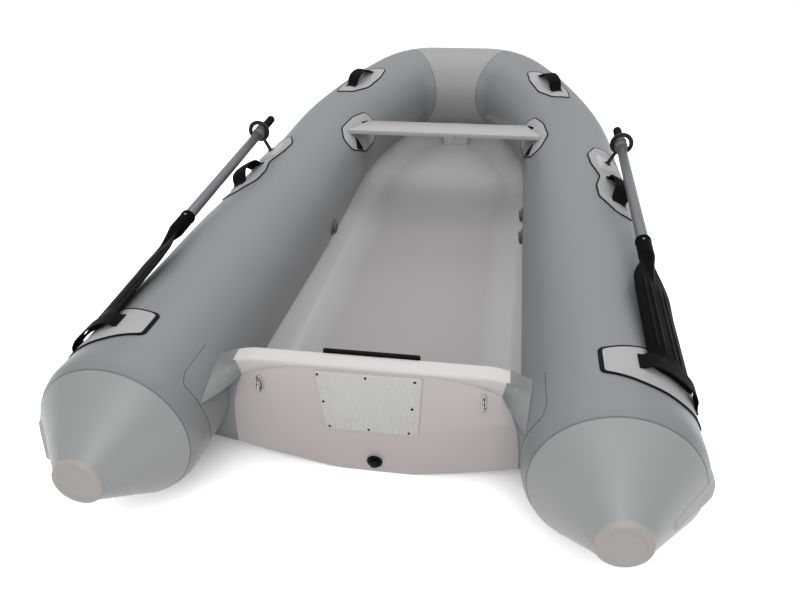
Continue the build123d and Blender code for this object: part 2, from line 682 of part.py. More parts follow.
# ---------------------------------------------------------------- transom joint fabric
FLAP = (364.0, 165.0)        # on the tube: distance along it, angle round it
FLAP_OUTLINE = [
    # laid flat: forward, and round towards the tube's underside
    (-115, -60), (110, -85), (110, 95), (-60, 95), (-115, 0),
]
FLAP_CORNER = 20.0
CORNER_TAB = [
    # on the transom's aft face: from the centreline, up
    (344, 414), (344, 354), (420, 330), (420, 414),
]
tab_face = make_face(Polyline(*on_face(CORNER_TAB), close=True).edges())
tab = extrude(aft_face * tab_face, FLAP_T)
flap = collar(GLUE + FLAP_T) & tube_prism(*FLAP, FLAP_OUTLINE, FLAP_CORNER)
add_set("transom_flaps", flap.fuse(tab) - inner - panel - capping)

# ---------------------------------------------------------------- bow eyes
shelf_up = Vector(0, -sin(radians(SHELF_CLIMB)), cos(radians(SHELF_CLIMB)))
eye_spot = Vector(0, BOW_EYE_Y, SHELF_Z + (BOW_EYE_Y - SHELF_AFT_Y) * tan(radians(SHELF_CLIMB)))
add("bow_eye", Plane(origin=eye_spot, x_dir=(1, 0, 0), z_dir=shelf_up) * eye_bolt())

# the origin goes under the middle of the boat
for name, shape in pieces.items():
    export_step(Pos(0, -OVERALL / 2, 0) * shape, f"parts/{name}.step")
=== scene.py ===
import bpy
import math

import bmesh
import numpy as np
from mathutils import Matrix, Vector


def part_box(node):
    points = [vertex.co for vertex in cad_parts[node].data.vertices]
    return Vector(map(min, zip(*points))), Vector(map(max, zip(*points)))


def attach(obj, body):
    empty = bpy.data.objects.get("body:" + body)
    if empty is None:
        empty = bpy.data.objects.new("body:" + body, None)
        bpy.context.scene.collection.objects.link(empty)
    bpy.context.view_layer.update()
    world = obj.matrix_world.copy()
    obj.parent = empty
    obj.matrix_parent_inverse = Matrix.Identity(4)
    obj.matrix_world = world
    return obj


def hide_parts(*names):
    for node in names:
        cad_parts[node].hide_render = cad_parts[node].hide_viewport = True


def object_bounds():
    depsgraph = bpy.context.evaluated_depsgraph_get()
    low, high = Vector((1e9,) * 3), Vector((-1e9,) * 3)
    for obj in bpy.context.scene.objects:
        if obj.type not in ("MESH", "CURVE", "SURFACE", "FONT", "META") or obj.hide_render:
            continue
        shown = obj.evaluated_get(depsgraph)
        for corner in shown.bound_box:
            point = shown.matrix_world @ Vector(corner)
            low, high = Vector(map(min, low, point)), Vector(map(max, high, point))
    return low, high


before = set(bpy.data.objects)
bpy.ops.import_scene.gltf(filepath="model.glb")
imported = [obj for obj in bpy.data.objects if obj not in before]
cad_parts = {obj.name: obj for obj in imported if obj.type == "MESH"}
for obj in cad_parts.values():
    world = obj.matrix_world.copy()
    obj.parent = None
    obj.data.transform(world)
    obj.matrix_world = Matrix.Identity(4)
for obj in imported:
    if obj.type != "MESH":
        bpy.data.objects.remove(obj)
cad_low, cad_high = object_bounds()

# ---------------------------------------------------------------------------------------------
# Collar.  One inflated ring of coated fabric in three air chambers: two long side chambers, full
# amidships, that sweep in and climb to the bow, and a short straight bow chamber between them.
# The panels are overlapped and glued, and their ends are cut as cones.
STERN = cad_low.y                 # where the tube ends are
TUBE_R = 0.218
CONE_LENGTH = 0.240
BEND_SHARE = 0.48                 # how much of each straight run a bend takes up
BEND_STEPS = 10
AXIS = [
    # to starboard, forward of the tube ends, up
    (0.6190, 0.2400, 0.2840),
    (0.6190, 1.5500, 0.2840),
    (0.6190, 1.9503, 0.2991),
    (0.6128, 2.3507, 0.3381),
    (0.5895, 2.5598, 0.3719),
    (0.5291, 2.7608, 0.4139),
    (0.4290, 2.9699, 0.4700),
    (0.2760, 3.1840, 0.5310),
]
GIRTH = [
    # distance along the collar, radius there
    (0.000, 0.213),
    (0.300, 0.213),
    (0.600, 0.218),
    (1.250, 0.227),
    (1.750, 0.227),
    (2.300, 0.221),
    (2.900, 0.219),
    (9.000, 0.219),
]
END_R = 0.0625                    # cone, where it meets the end disc
END_Y = 0.012
CONE_SLOPE = math.radians(39.6)
SHOULDER = 0.030                  # how far forward of the corner the rounded shoulder ends
CONE_SEAM = 0.178                 # glued seam between cone and tube
BOW_SEAM_HALF = 0.283
BOW_SEAM_SLANT = math.radians(38)
AROUND = 96


def bent_line(points, share, steps):
    """Straight runs with each corner turned into one arc, as a list of points."""
    line = [points[0]]
    for before, corner, after in zip(points, points[1:], points[2:]):
        back = (before - corner).normalized()
        ahead = (after - corner).normalized()
        reach = share * min((before - corner).length, (after - corner).length)
        turn = math.pi - back.angle(ahead)
        if turn < 1e-3:
            continue
        middle = (back + ahead).normalized()
        radius = reach / math.tan(turn / 2)
        centre = corner + middle * (radius / math.cos(turn / 2))
        first = corner + back * reach - centre
        last = corner + ahead * reach - centre
        for step in range(steps + 1):
            t = step / steps
            arm = (first * math.sin((1 - t) * turn) + last * math.sin(t * turn)) / math.sin(turn)
            line.append(centre + arm)
    return line + [points[-1]]


starboard_axis = [Vector((x, STERN + y, z)) for x, y, z in AXIS]
port_axis = [Vector((-p.x, p.y, p.z)) for p in reversed(starboard_axis)]
axis_line = bent_line(starboard_axis + port_axis, BEND_SHARE, BEND_STEPS)
axis_run = [CONE_LENGTH]
for a, b in zip(axis_line, axis_line[1:]):
    axis_run.append(axis_run[-1] + (b - a).length)
COLLAR_LENGTH = axis_run[-1] + CONE_LENGTH


def eased(table, at):
    """Value between the rows of a table, flat at every row."""
    for (low, before), (high, after) in zip(table, table[1:]):
        if at <= high:
            t = max(0.0, (at - low) / (high - low))
            return before + (after - before) * t * t * (3 - 2 * t)
    return table[-1][1]


def girth(distance):
    """Radius of the collar, a distance along it from the starboard tube end."""
    reach = min(distance, COLLAR_LENGTH - distance)
    full = eased(GIRTH, reach)
    corner = END_Y + (full - END_R) / math.tan(CONE_SLOPE)
    if reach >= corner + SHOULDER:
        return full
    radius = SHOULDER / math.tan(CONE_SLOPE / 2)
    if reach > corner - SHOULDER * math.cos(CONE_SLOPE):
        return full - radius + math.sqrt(radius**2 - (corner + SHOULDER - reach) ** 2)
    return END_R + (reach - END_Y) * math.tan(CONE_SLOPE)


def station(distance):
    """Centre of the collar and its outward and upward directions, a distance along it."""
    inside = min(max(distance, CONE_LENGTH), COLLAR_LENGTH - CONE_LENGTH)
    at = max(1, min(len(axis_run) - 1, int(np.searchsorted(axis_run, inside))))
    a, b = axis_line[at - 1], axis_line[at]
    t = (inside - axis_run[at - 1]) / (axis_run[at] - axis_run[at - 1])
    before = axis_line[max(at - 2, 0)]
    after = axis_line[min(at + 1, len(axis_line) - 1)]
    heading = (b - before).normalized().lerp((after - a).normalized(), t).normalized()
    centre = a.lerp(b, t) + heading * (distance - inside)
    out = heading.cross(Vector((0, 0, 1))).normalized()
    reach = min(distance, COLLAR_LENGTH - distance)
    return centre + out * (eased(GIRTH, reach) - TUBE_R), out, out.cross(heading)


def skin(distance, angle, lift=0.0):
    """Point on the collar: degrees round it from outboard (0) over the top (90) to inboard (180)."""
    centre, out, up = station(distance)
    a = math.radians(angle)
    return centre + (out * math.cos(a) + up * math.sin(a)) * (girth(distance) + lift)


def grid_faces(rows, columns, wrap=False):
    """Faces of a grid of points; a wrapped one closes each row into a ring."""
    faces = []
    for r in range(rows - 1):
        near, far = r * columns, (r + 1) * columns
        for c in range(columns if wrap else columns - 1):
            after = (c + 1) % columns
            faces.append((near + c, near + after, far + after, far + c))
    return faces


def bar(rings):
    """Shape of rings of (point, place), one after another, closed at both ends."""
    points = [point for ring in rings for point, _ in ring]
    places = [place for ring in rings for _, place in ring]
    around = len(rings[0])
    ends = [tuple(reversed(range(around))), tuple(range(len(points) - around, len(points)))]
    return points, grid_faces(len(rings), around, wrap=True) + ends, places


def joined(*shapes):
    """One shape of several; a shape is its points, its faces and its places, the map of its surface."""
    points, faces, places = [], [], []
    for more, sides, flat in shapes:
        start = len(points)
        points += more
        places += flat
        faces += [tuple(start + i for i in face) for face in sides]
    return points, faces, places


def other_side(shape):
    """Mirror image of a shape, to port of the centreline."""
    points, faces, places = shape
    return [Vector((-p.x, p.y, p.z)) for p in points], [tuple(reversed(face)) for face in faces], places


def both_sides(shape):
    """A shape and its mirror image."""
    return joined(shape, other_side(shape))


def outward(mesh):
    """Turns every face of a mesh outwards."""
    made = bmesh.new()
    made.from_mesh(mesh)
    bmesh.ops.remove_doubles(made, verts=made.verts, dist=1e-6)
    bmesh.ops.recalc_face_normals(made, faces=made.faces)
    made.to_mesh(mesh)
    made.free()


def finished_piece(name, mesh, sharp, body, slot, material, *replaced):
    """Object of a mesh, smooth but for edges sharper than an angle in degrees, on its body; its slot is not
    used.
    """
    outward(mesh)
    mesh.shade_smooth()
    mesh.set_sharp_from_angle(angle=math.radians(sharp))
    mesh.materials.clear()
    mesh.materials.append(material)
    piece = bpy.data.objects.new(name, mesh)
    bpy.context.scene.collection.objects.link(piece)
    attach(piece, body)
    if replaced:
        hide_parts(*replaced)


def piece_of(name, shape, slot, material, *replaced, sharp=40, body="boat"):
    """Piece of a shape, with the nodes it stands for."""
    points, faces, places = shape
    mesh = bpy.data.meshes.new(name)
    mesh.from_pydata([tuple(p) for p in points], [], faces)
    layer = mesh.uv_layers.new(name="surface")
    for loop in mesh.loops:
        layer.data[loop.index].uv = places[loop.vertex_index]
    mesh.validate()
    finished_piece(name, mesh, sharp, body, slot, material, *replaced)


def colour(red, green, blue):
    """Linear colour from the 0 to 255 values of a paint card."""
    card = [c / 255 for c in (red, green, blue)]
    return tuple([c / 12.92 if c <= 0.04045 else ((c + 0.055) / 1.055) ** 2.4 for c in card] + [1.0])


def add(tree, kind, inputs=(), output=0, **settings):
    """Adds a node, its inputs (named or in order) values or sockets; gives one of its outputs, or itself."""
    made = tree.nodes.new(kind)
    for setting, value in settings.items():
        setattr(made, setting, value)
    for label, source in inputs.items() if isinstance(inputs, dict) else enumerate(inputs):
        if isinstance(source, bpy.types.NodeSocket):
            tree.links.new(source, made.inputs[label])
        else:
            made.inputs[label].default_value = source
    return made if output is None else made.outputs[output]


def calculate(tree, operation, *values):
    """Adds an operation on values or sockets and gives its result."""
    return add(tree, "ShaderNodeMath", values, operation=operation)


def mixed(tree, share, first, second, data_type="RGBA"):
    """Adds a mix of two colours or values and gives its result."""
    inputs = {"Factor": share, "A": first, "B": second}
    return add(tree, "ShaderNodeMix", inputs, "Result", data_type=data_type)


def surface_group(name, *values):
    """Shader group that takes a colour and named values; the group, and the sockets that carry them."""
    group = bpy.data.node_groups.new(name, "ShaderNodeTree")
    sockets = [("INPUT", "Colour", "Color")] + [("INPUT", label, "Float") for label in values]
    sockets += [("OUTPUT", "Base Color", "Color"), ("OUTPUT", "Roughness", "Float")]
    for end, label, kind in sockets + [("OUTPUT", "Normal", "Vector")]:
        group.interface.new_socket(name=label, in_out=end, socket_type=f"NodeSocket{kind}")
    return group, group.nodes.new("NodeGroupInput").outputs


def clouded(group, given, place, size, detail):
    """Cloudy shading from -1 to 1, and how light it makes the colour."""
    cloud = add(group, "ShaderNodeTexNoise", {"Vector": place, "Scale": size, "Detail": detail})
    shade = add(group, "ShaderNodeMapRange", {"Value": cloud, "From Min": 0.3, "From Max": 0.7, "To Min": -1})
    return shade, calculate(group, "MULTIPLY_ADD", shade, given["Cloud"], 1)


def end_surface(group, given, shade, light, scuffing, height, depth):
    """Ends a surface's group: its colour, a sheen that the shading scuffs, and its relief."""
    tint = add(group, "ShaderNodeVectorMath", {0: given["Colour"], "Scale": light}, operation="SCALE")
    rough = calculate(group, "MULTIPLY_ADD", shade, scuffing, given["Sheen"])
    relief = add(group, "ShaderNodeBump", {"Distance": depth, "Height": height})
    add(group, "NodeGroupOutput", {"Base Color": tint, "Roughness": rough, "Normal": relief}, None)


def moulded_surface():
    """Cloudy colour, scuffs in the sheen, grime in a few places and a fine grain."""
    group, given = surface_group(
        "moulded_surface", "Cloud", "Cloud Size", "Grain Size", "Grain Depth", "Sheen", "Soil")
    place = add(group, "ShaderNodeTexCoord", output="Object")
    shade, light = clouded(group, given, place, given["Cloud Size"], 5)
    spots = add(group, "ShaderNodeTexNoise", {"Vector": place, "Scale": 9, "Detail": 8, "Roughness": 0.7})
    soiled = add(group, "ShaderNodeMapRange", {"Value": spots, "From Min": 0.58, "From Max": 0.74})
    light = calculate(group, "SUBTRACT", light, calculate(group, "MULTIPLY", soiled, given["Soil"]))
    grain = add(group, "ShaderNodeTexNoise", {"Vector": place, "Scale": given["Grain Size"], "Detail": 2})
    end_surface(group, given, shade, light, 0.07, grain, given["Grain Depth"])
    return group


SURFACE = moulded_surface()


def coat_of(name, surface, values, metal=0.0, coat=0.0, gloss=0.5):
    """Material that takes its colour, sheen and relief from a surface's group."""
    material = bpy.data.materials.new(name)
    material.use_nodes = True
    tree = material.node_tree
    shader = tree.nodes["Principled BSDF"]
    shader.inputs["Metallic"].default_value = metal
    shader.inputs["Coat Weight"].default_value = coat
    shader.inputs["Specular IOR Level"].default_value = gloss
    used = add(tree, "ShaderNodeGroup", values, None, node_tree=surface)
    for label in ("Base Color", "Roughness", "Normal"):
        tree.links.new(used.outputs[label], shader.inputs[label])
    return material


def finish(name, card, sheen, cloud=0.03, cloud_size=2.5, grain=700, depth=0.00005, soil=0.02, **shader):
    """Material with a moulded surface of the given colour and sheen."""
    values = {"Colour": colour(*card), "Cloud": cloud, "Cloud Size": cloud_size, "Grain Size": grain,
              "Grain Depth": depth, "Sheen": sheen, "Soil": soil}
    return coat_of(name, SURFACE, values, **shader)


tube_grey = finish("tube_grey", (133, 137, 140), 0.42, cloud=0.035, grain=1400, depth=0.00003)
# Painted light: the bow chamber is the same fabric as the side chambers, painted paler to stand in for the
# light it catches.
bow_grey_painted_light = finish("bow_grey_painted_light", (158, 161, 158), 0.42, cloud=0.03, grain=1400, depth=0.00003)
# Painted light: the cones are the same fabric as the tubes, painted paler to stand in for the light falling
# on them from aft.
cone_grey_painted_light = finish("cone_grey_painted_light", (154, 157, 158), 0.42, cloud=0.03, grain=1400, depth=0.00003)


def past_bow_seam(point):
    """How far a point is past the starboard bow seam."""
    lean = Vector((-math.cos(BOW_SEAM_SLANT), math.sin(BOW_SEAM_SLANT), 0))
    return (point - Vector((BOW_SEAM_HALF, STERN + AXIS[-1][1], 0))).dot(lean)


def bow_seam_at(angle):
    """Distance along the collar at which the starboard bow seam crosses it, at an angle round it."""
    low, high = COLLAR_LENGTH / 2 - 0.8, COLLAR_LENGTH / 2
    for _ in range(30):
        middle = (low + high) / 2
        if past_bow_seam(skin(middle, angle)) < 0:
            low = middle
        else:
            high = middle
    return low


def chamber(start, end, rows):
    """Closed chamber between two ends, each a distance for an angle."""
    rings = []
    for row in range(rows):
        t = row / (rows - 1)
        ring = []
        for column in range(AROUND):
            angle = 360 * column / AROUND
            distance = start(angle) * (1 - t) + end(angle) * t
            ring.append((skin(distance, angle), (distance, math.radians(angle) * TUBE_R)))
        rings.append(ring)
    return bar(rings)


side_wall = chamber(lambda angle: CONE_SEAM, bow_seam_at, 170)
bow_wall = chamber(bow_seam_at, lambda angle: COLLAR_LENGTH - bow_seam_at(angle), 50)
piece_of("side_chamber_starboard", side_wall, "tube_fabric", tube_grey, "tube_starboard")
piece_of("side_chamber_port", other_side(side_wall), "tube_fabric", tube_grey, "tube_port")
piece_of("bow_chamber", bow_wall, "tube_fabric", bow_grey_painted_light, "tube_bow")
cone_wall = chamber(lambda angle: END_Y, lambda angle: CONE_SEAM, 24)
piece_of("tube_end_starboard", cone_wall, "cone_fabric", cone_grey_painted_light, "cone_starboard")
piece_of("tube_end_port", other_side(cone_wall), "cone_fabric", cone_grey_painted_light, "cone_port")

# ---------------------------------------------------------------------------------------------
# Seams.  Where two panels overlap, the edge of the upper one shows as a fine dark line with a
# trace of glue along it.
SEAM_W, SEAM_H = 0.0032, 0.0008
seam_line = finish("seam_glue", (108, 112, 115), 0.5, cloud=0.1, cloud_size=30)
BEAD_SECTION = [
    # across, in half widths; up, in heights
    (-1.0, -0.6), (-0.92, 0.45), (-0.6, 0.9), (0.0, 1.0), (0.6, 0.9), (0.92, 0.45), (1.0, -0.6), (0.0, -0.8),
]


def ribbon(line, widths, height, lift=0.0, closed=False):
    """Low rounded bead along a line of places (distance, across the skin) on the collar."""
    rings = []
    count = len(line)
    if not hasattr(widths, "__len__"):
        widths = [widths] * count
    run = 0.0
    for i, (at, side) in enumerate(line):
        before = line[i - 1] if closed or i else line[i]
        after = line[(i + 1) % count] if closed or i + 1 < count else line[i]
        along = Vector((after[0] - before[0], after[1] - before[1])).normalized()
        run += (Vector(line[i]) - Vector(line[i - 1])).length if i else 0
        ring = []
        for across, rise in BEAD_SECTION:
            reach = across * widths[i] / 2
            angle = math.degrees((side + along.x * reach) / TUBE_R)
            ring.append((skin(at - along.y * reach, angle, lift + rise * height), (run, reach)))
        rings.append(ring)
    points, faces, places = bar(rings)
    if closed:
        columns = len(BEAD_SECTION)
        last = (count - 1) * columns
        faces[-2:] = [(last + c, last + (c + 1) % columns, (c + 1) % columns, c) for c in range(columns)]
    return points, faces, places


def ring_line(at, steps=120):
    """Places round the collar at a distance that may depend on the angle."""
    angles = [360 * i / steps for i in range(steps + 1)]
    return [(at(angle), math.radians(angle) * TUBE_R) for angle in angles]


seams = joined(
    ribbon(ring_line(lambda angle: CONE_SEAM), SEAM_W, SEAM_H),
    ribbon(ring_line(bow_seam_at), SEAM_W, SEAM_H),
)
piece_of("panel_seams", both_sides(seams), "tube_fabric", seam_line)

# ---------------------------------------------------------------------------------------------
# End discs.  A moulded rubber plug closes each cone, with a raised rim round a shallow dish.
DISC_PROFILE = [
    # radius, aft of the cone's end
    (0.00001, 0.0085), (0.0350, 0.0085), (0.0440, 0.0092), (0.0475, 0.0118), (0.0520, 0.0120),
    (0.0580, 0.0112), (0.0622, 0.0080), (0.0640, 0.0030), (0.0640, -0.0020),
]
disc_beige = finish("disc_rubber", (170, 165, 160), 0.5, cloud=0.05, cloud_size=14, grain=500)


def turned(origin, out, profile, steps=48, side=None):
    """Round piece about an axis, of a profile of radius and reach along it."""
    side = side or out.orthogonal().normalized()
    other = out.cross(side)
    turns = [(math.cos(a), math.sin(a)) for a in (2 * math.pi * k / steps for k in range(steps))]
    rings = []
    for radius, reach in profile:
        foot = origin + out * reach
        rings.append([(foot + (side * x + other * y) * radius, (radius * x, radius * y)) for x, y in turns])
    return bar(rings)


cone_end, cone_side, _ = station(END_Y)
points, faces, places = turned(cone_end, Vector((0, -1, 0)), DISC_PROFILE, 64, cone_side)
discs = both_sides((points, faces[:-2], places))
piece_of("end_discs", discs, "end_rubber", disc_beige, "cone_caps")

# ---------------------------------------------------------------------------------------------
# Rubbing strake.  An extruded rubber band with a raised rib, glued round the outside of the
# collar; its ends run on over the cones and narrow there.
STRAKE_SECTION = [
    # up the side, out from the skin
    (-0.045, -0.001), (-0.0445, 0.002), (-0.042, 0.0035), (-0.019, 0.0045), (-0.0145, 0.0095),
    (-0.010, 0.0130), (0.000, 0.0140), (0.010, 0.0130), (0.0145, 0.0095), (0.019, 0.0045),
    (0.042, 0.0035), (0.0445, 0.002), (0.045, -0.001),
]
STRAKE_FROM = 0.075
STRAKE_TAPER = 0.16
STRAKE_TIP = 0.35                 # share of its width at its ends
STRAKE_ROWS = 260
strake_rubber = finish("strake_rubber", (186, 184, 180), 0.55, cloud=0.05, cloud_size=8, grain=600, soil=0.08)


def strake():
    """The band all the way round the collar."""
    rings = []
    for row in range(STRAKE_ROWS):
        distance = STRAKE_FROM + (COLLAR_LENGTH - 2 * STRAKE_FROM) * row / (STRAKE_ROWS - 1)
        reach = min(distance, COLLAR_LENGTH - distance) - STRAKE_FROM
        narrow = STRAKE_TIP + (1 - STRAKE_TIP) * min(1.0, reach / STRAKE_TAPER)
        ring = []
        for side, lift in STRAKE_SECTION:
            angle = math.degrees(side * narrow / girth(distance))
            ring.append((skin(distance, angle, lift * (0.5 + 0.5 * narrow)), (distance, side)))
        rings.append(ring)
    return bar(rings)


piece_of("rubbing_strake", strake(), "strake_rubber", strake_rubber, "rub_strake")

# ---------------------------------------------------------------------------------------------
# Chafe patches.  Pale coated fabric glued to the collar under the keepers, rowlocks, bench and
# hand grips.  A black piping bead is glued down round the edge of each.
PATCH_T = 0.0033
PIPING_W = 0.0068
PIPING_H = 0.0024
EDGE_STEP = 0.006
AFT_PATCH = (0.372, 58)           # distance along the collar, angle round it
MID_PATCH = (1.715, 58)
SEAT_PATCH = (2.372, 146)
BOW_PATCH = (2.838, 95)
AFT_OUTLINE = [
    # forward, round towards the inner side, corner radius
    (-0.044, 0.163, 0.014), (0.050, 0.163, 0.014), (0.078, 0.050, 0.20), (0.078, -0.045, 0.14),
    (0.050, -0.158, 0.03), (-0.050, -0.158, 0.03), (-0.084, -0.030, 0.14), (-0.078, 0.060, 0.20),
]
MID_OUTLINE = [
    (0.374, -0.030, 0.03), (0.346, 0.050, 0.05), (0.235, 0.091, 0.09), (0.120, 0.087, 0.12),
    (-0.010, 0.061, 0.12), (-0.130, 0.085, 0.12), (-0.250, 0.085, 0.10), (-0.374, 0.028, 0.03),
    (-0.346, -0.034, 0.012), (-0.200, -0.080, 0.10), (-0.010, -0.064, 0.12), (0.120, -0.080, 0.12),
    (0.270, -0.078, 0.08),
]
SEAT_OUTLINE = [
    (0.205, -0.044, 0.05), (0.070, -0.078, 0.12), (-0.110, -0.092, 0.10), (-0.206, -0.050, 0.05),
    (-0.206, 0.010, 0.06), (-0.040, 0.084, 0.14), (0.130, 0.098, 0.10), (0.228, 0.030, 0.07),
]
BOW_OUTLINE = [
    (0.184, 0.046, 0.010), (0.100, 0.069, 0.12), (-0.040, 0.071, 0.14), (-0.150, 0.022, 0.05),
    (-0.168, -0.058, 0.010), (-0.070, -0.078, 0.10), (0.060, -0.070, 0.12), (0.155, -0.010, 0.05),
]


def rounded(corners, step=EDGE_STEP):
    """Closed outline of corner points, each rounded to its radius, as evenly spaced points."""
    spots = [Vector((x, y)) for x, y, _ in corners]
    count = len(corners)
    line = []
    for i, (_, _, radius) in enumerate(corners):
        corner = spots[i]
        back = spots[i - 1] - corner
        ahead = spots[(i + 1) % count] - corner
        turn = math.pi - back.angle(ahead)
        reach = min(radius * math.tan(turn / 2), 0.49 * back.length, 0.49 * ahead.length)
        bend = reach / math.tan(turn / 2)
        first = corner + back.normalized() * reach
        middle = (back.normalized() + ahead.normalized()).normalized()
        centre = corner + middle * math.hypot(bend, reach)
        swing = -turn if back.cross(ahead) > 0 else turn
        arm = first - centre
        steps = max(2, int(bend * turn / step) + 2)
        for k in range(steps):
            a = swing * k / (steps - 1)
            line.append(centre + Vector((arm.x * math.cos(a) - arm.y * math.sin(a),
                                         arm.x * math.sin(a) + arm.y * math.cos(a))))
    even = []
    for a, b in zip(line, line[1:] + line[:1]):
        pieces = max(1, round((b - a).length / step))
        even += [a.lerp(b, k / pieces) for k in range(pieces)]
    return even


def on_skin(place, forward, round_it, lift=0.0):
    """Point above the collar's skin, from the middle of a patch."""
    return skin(place[0] + forward, place[1] + math.degrees(round_it / TUBE_R), lift)


def patch(place, outline, thickness, base=0.0, bevel=0.0012):
    """Flat fabric or moulding with the outline, laid on the collar's skin."""
    middle = sum(outline, Vector((0, 0))) / len(outline)
    rings = [(1.0, 0.0, base - 0.001), (1.0, 0.0, base + thickness * 0.5), (1.0, bevel, base + thickness)]
    rings += [(share, bevel, base + thickness) for share in (0.8, 0.6, 0.4, 0.2, 0.02)]
    laid = []
    for share, inset, lift in rings:
        spots = [middle + (spot - middle) * (share - inset / (spot - middle).length) for spot in outline]
        laid.append([(on_skin(place, at.x, at.y, lift), (at.x, at.y)) for at in spots])
    return bar(laid)


def piping(place, outline, widths):
    """Bead glued over the edge of a patch."""
    around = math.radians(place[1]) * TUBE_R
    line = [(place[0] + p.x, around + p.y) for p in outline]
    return ribbon(line, widths, PIPING_H, PATCH_T * 0.55, closed=True)


def coated_weave():
    """Grain of coated fabric on the piece's own map, in metres, and its cloudy colour."""
    group, given = surface_group("coated_weave", "Thread", "Depth", "Sheen", "Cloud")
    flat = add(group, "ShaderNodeUVMap", uv_map="surface")
    apart = add(group, "ShaderNodeSeparateXYZ", [flat], None).outputs
    waves = []
    for axis in ("X", "Y"):
        phase = calculate(group, "DIVIDE", apart[axis], given["Thread"])
        waves.append(calculate(group, "SINE", calculate(group, "MULTIPLY", phase, math.pi * 2)))
    shade, light = clouded(group, given, add(group, "ShaderNodeTexCoord", output="Object"), 11, 4)
    end_surface(group, given, shade, light, 0.06, calculate(group, "MULTIPLY", *waves), given["Depth"])
    return group


WEAVE = coated_weave()


def woven(name, card, thread, depth, sheen, cloud=0.04, gloss=0.5):
    """Material with a woven surface."""
    values = {"Colour": colour(*card), "Thread": thread, "Depth": depth, "Sheen": sheen, "Cloud": cloud}
    return coat_of(name, WEAVE, values, gloss=gloss)


patch_pale = woven("patch_pale", (175, 175, 177), 0.0012, 0.00004, 0.5)
piping_black = finish("piping_black", (15, 16, 18), 0.5, cloud=0.1, cloud_size=30, gloss=0.06)
PATCHES = [
    # name, place, corners, bead width at the straight inner end
    ("aft_patch", AFT_PATCH, AFT_OUTLINE, 0.0125),
    ("mid_patch", MID_PATCH, MID_OUTLINE, PIPING_W),
    ("seat_patch", SEAT_PATCH, SEAT_OUTLINE, PIPING_W),
    ("bow_patch", BOW_PATCH, BOW_OUTLINE, PIPING_W),
]
for name, place, corners, end_width in PATCHES:
    outline = rounded(corners)
    inner_edge = max(p.y for p in outline)
    widths = [end_width if p.y > inner_edge - 0.008 else PIPING_W for p in outline]
    widths = [sum(widths[(i + k) % len(widths)] for k in (-2, -1, 0, 1, 2)) / 5 for i in range(len(widths))]
    laid = both_sides(patch(place, outline, PATCH_T))
    piece_of(f"{name}es", laid, "patch_fabric", patch_pale, f"{name}es")
    bead = both_sides(piping(place, outline, widths))
    piece_of(f"{name}_piping", bead, "black_plastic", piping_black)

# ---------------------------------------------------------------------------------------------
# Hand grips.  Heavy black webbing, arched between two feet that are sewn down under pale covers.
WEB_T = 0.0040
GRIP_W = 0.058
GRIP_ARCH = [
    # along the strap, height above the patch
    (-0.136, 0.0025), (-0.112, 0.0030), (-0.100, 0.0070), (-0.089, 0.0180), (-0.072, 0.0330),
    (-0.045, 0.0420), (0.000, 0.0455), (0.045, 0.0420), (0.072, 0.0330), (0.089, 0.0180), (0.100, 0.0070),
    (0.112, 0.0030), (0.136, 0.0025),
]
COVER = [(0.140, -0.035, 0.008), (0.140, 0.035, 0.008), (0.106, 0.038, 0.006), (0.106, -0.038, 0.006)]
COVER_T = 0.0034


def eased_line(points, share=0.45, steps=6):
    """Flat line with every corner turned into an arc."""
    line = bent_line([Vector((x, y, 0)) for x, y in points], share, steps)
    return [(p.x, p.y) for p in line]


def strap(place, run, width, along_tube=True):
    """Flat webbing over the collar: its run is a line of (along the strap, height)."""
    edge, half = WEB_T / 2, width / 2
    upper = [(-half + edge, edge), (-half / 2, edge), (0, edge), (half / 2, edge), (half - edge, edge)]
    section = [(-half, 0)] + upper + [(half, 0)] + [(across, -edge) for across, _ in reversed(upper)]
    rings = []
    gone = 0.0
    for i, (along, height) in enumerate(run):
        before = Vector(run[max(i - 1, 0)])
        after = Vector(run[min(i + 1, len(run) - 1)])
        heading = (after - before).normalized()
        gone += (Vector(run[i]) - before).length
        ring = []
        for across, thick in section:
            at = along - heading.y * thick
            spot = (at, across) if along_tube else (across, at)
            ring.append((on_skin(place, *spot, PATCH_T + height + heading.x * thick), (gone, across)))
        rings.append(ring)
    return bar(rings)


webbing_black = woven("webbing_black", (15, 15, 17), 0.0024, 0.00035, 0.7, cloud=0.15, gloss=0.06)
GRIPS = [
    # name, place, share of the full length, node it stands for
    ("mid_grip", (1.580, 61), 1.0, "mid_handles"),
    ("bow_grip", (2.845, 92), 0.78, "bow_handles"),
]
for name, place, share, node in GRIPS:
    arch = both_sides(strap(place, eased_line([(share * x, h) for x, h in GRIP_ARCH]), GRIP_W))
    piece_of(f"{name}s", arch, "webbing", webbing_black, node)
    covers = [patch(place, rounded([(s * share * x, y, r) for x, y, r in COVER], 0.004), COVER_T, PATCH_T)
              for s in (-1, 1)]
    piece_of(f"{name}_covers", both_sides(joined(*covers)), "patch_fabric", patch_pale)

# ---------------------------------------------------------------------------------------------
# Keepers.  A strap of the same webbing lies over each oar blade and is sewn to the aft patch.
KEEPER = (0.381, 53)
KEEPER_W = 0.058
KEEPER_RUN = [
    # round the collar from the middle of the blade, height above the patch
    (-0.110, 0.0020), (-0.100, 0.0022), (-0.087, 0.0070), (-0.074, 0.0150), (-0.050, 0.0182), (0.000, 0.0170),
    (0.050, 0.0176), (0.071, 0.0138), (0.079, 0.0060), (0.086, 0.0022), (0.094, 0.0020),
]
keepers = both_sides(strap(KEEPER, eased_line(KEEPER_RUN), KEEPER_W, along_tube=False))
piece_of("keepers", keepers, "webbing", webbing_black, "keeper_straps")

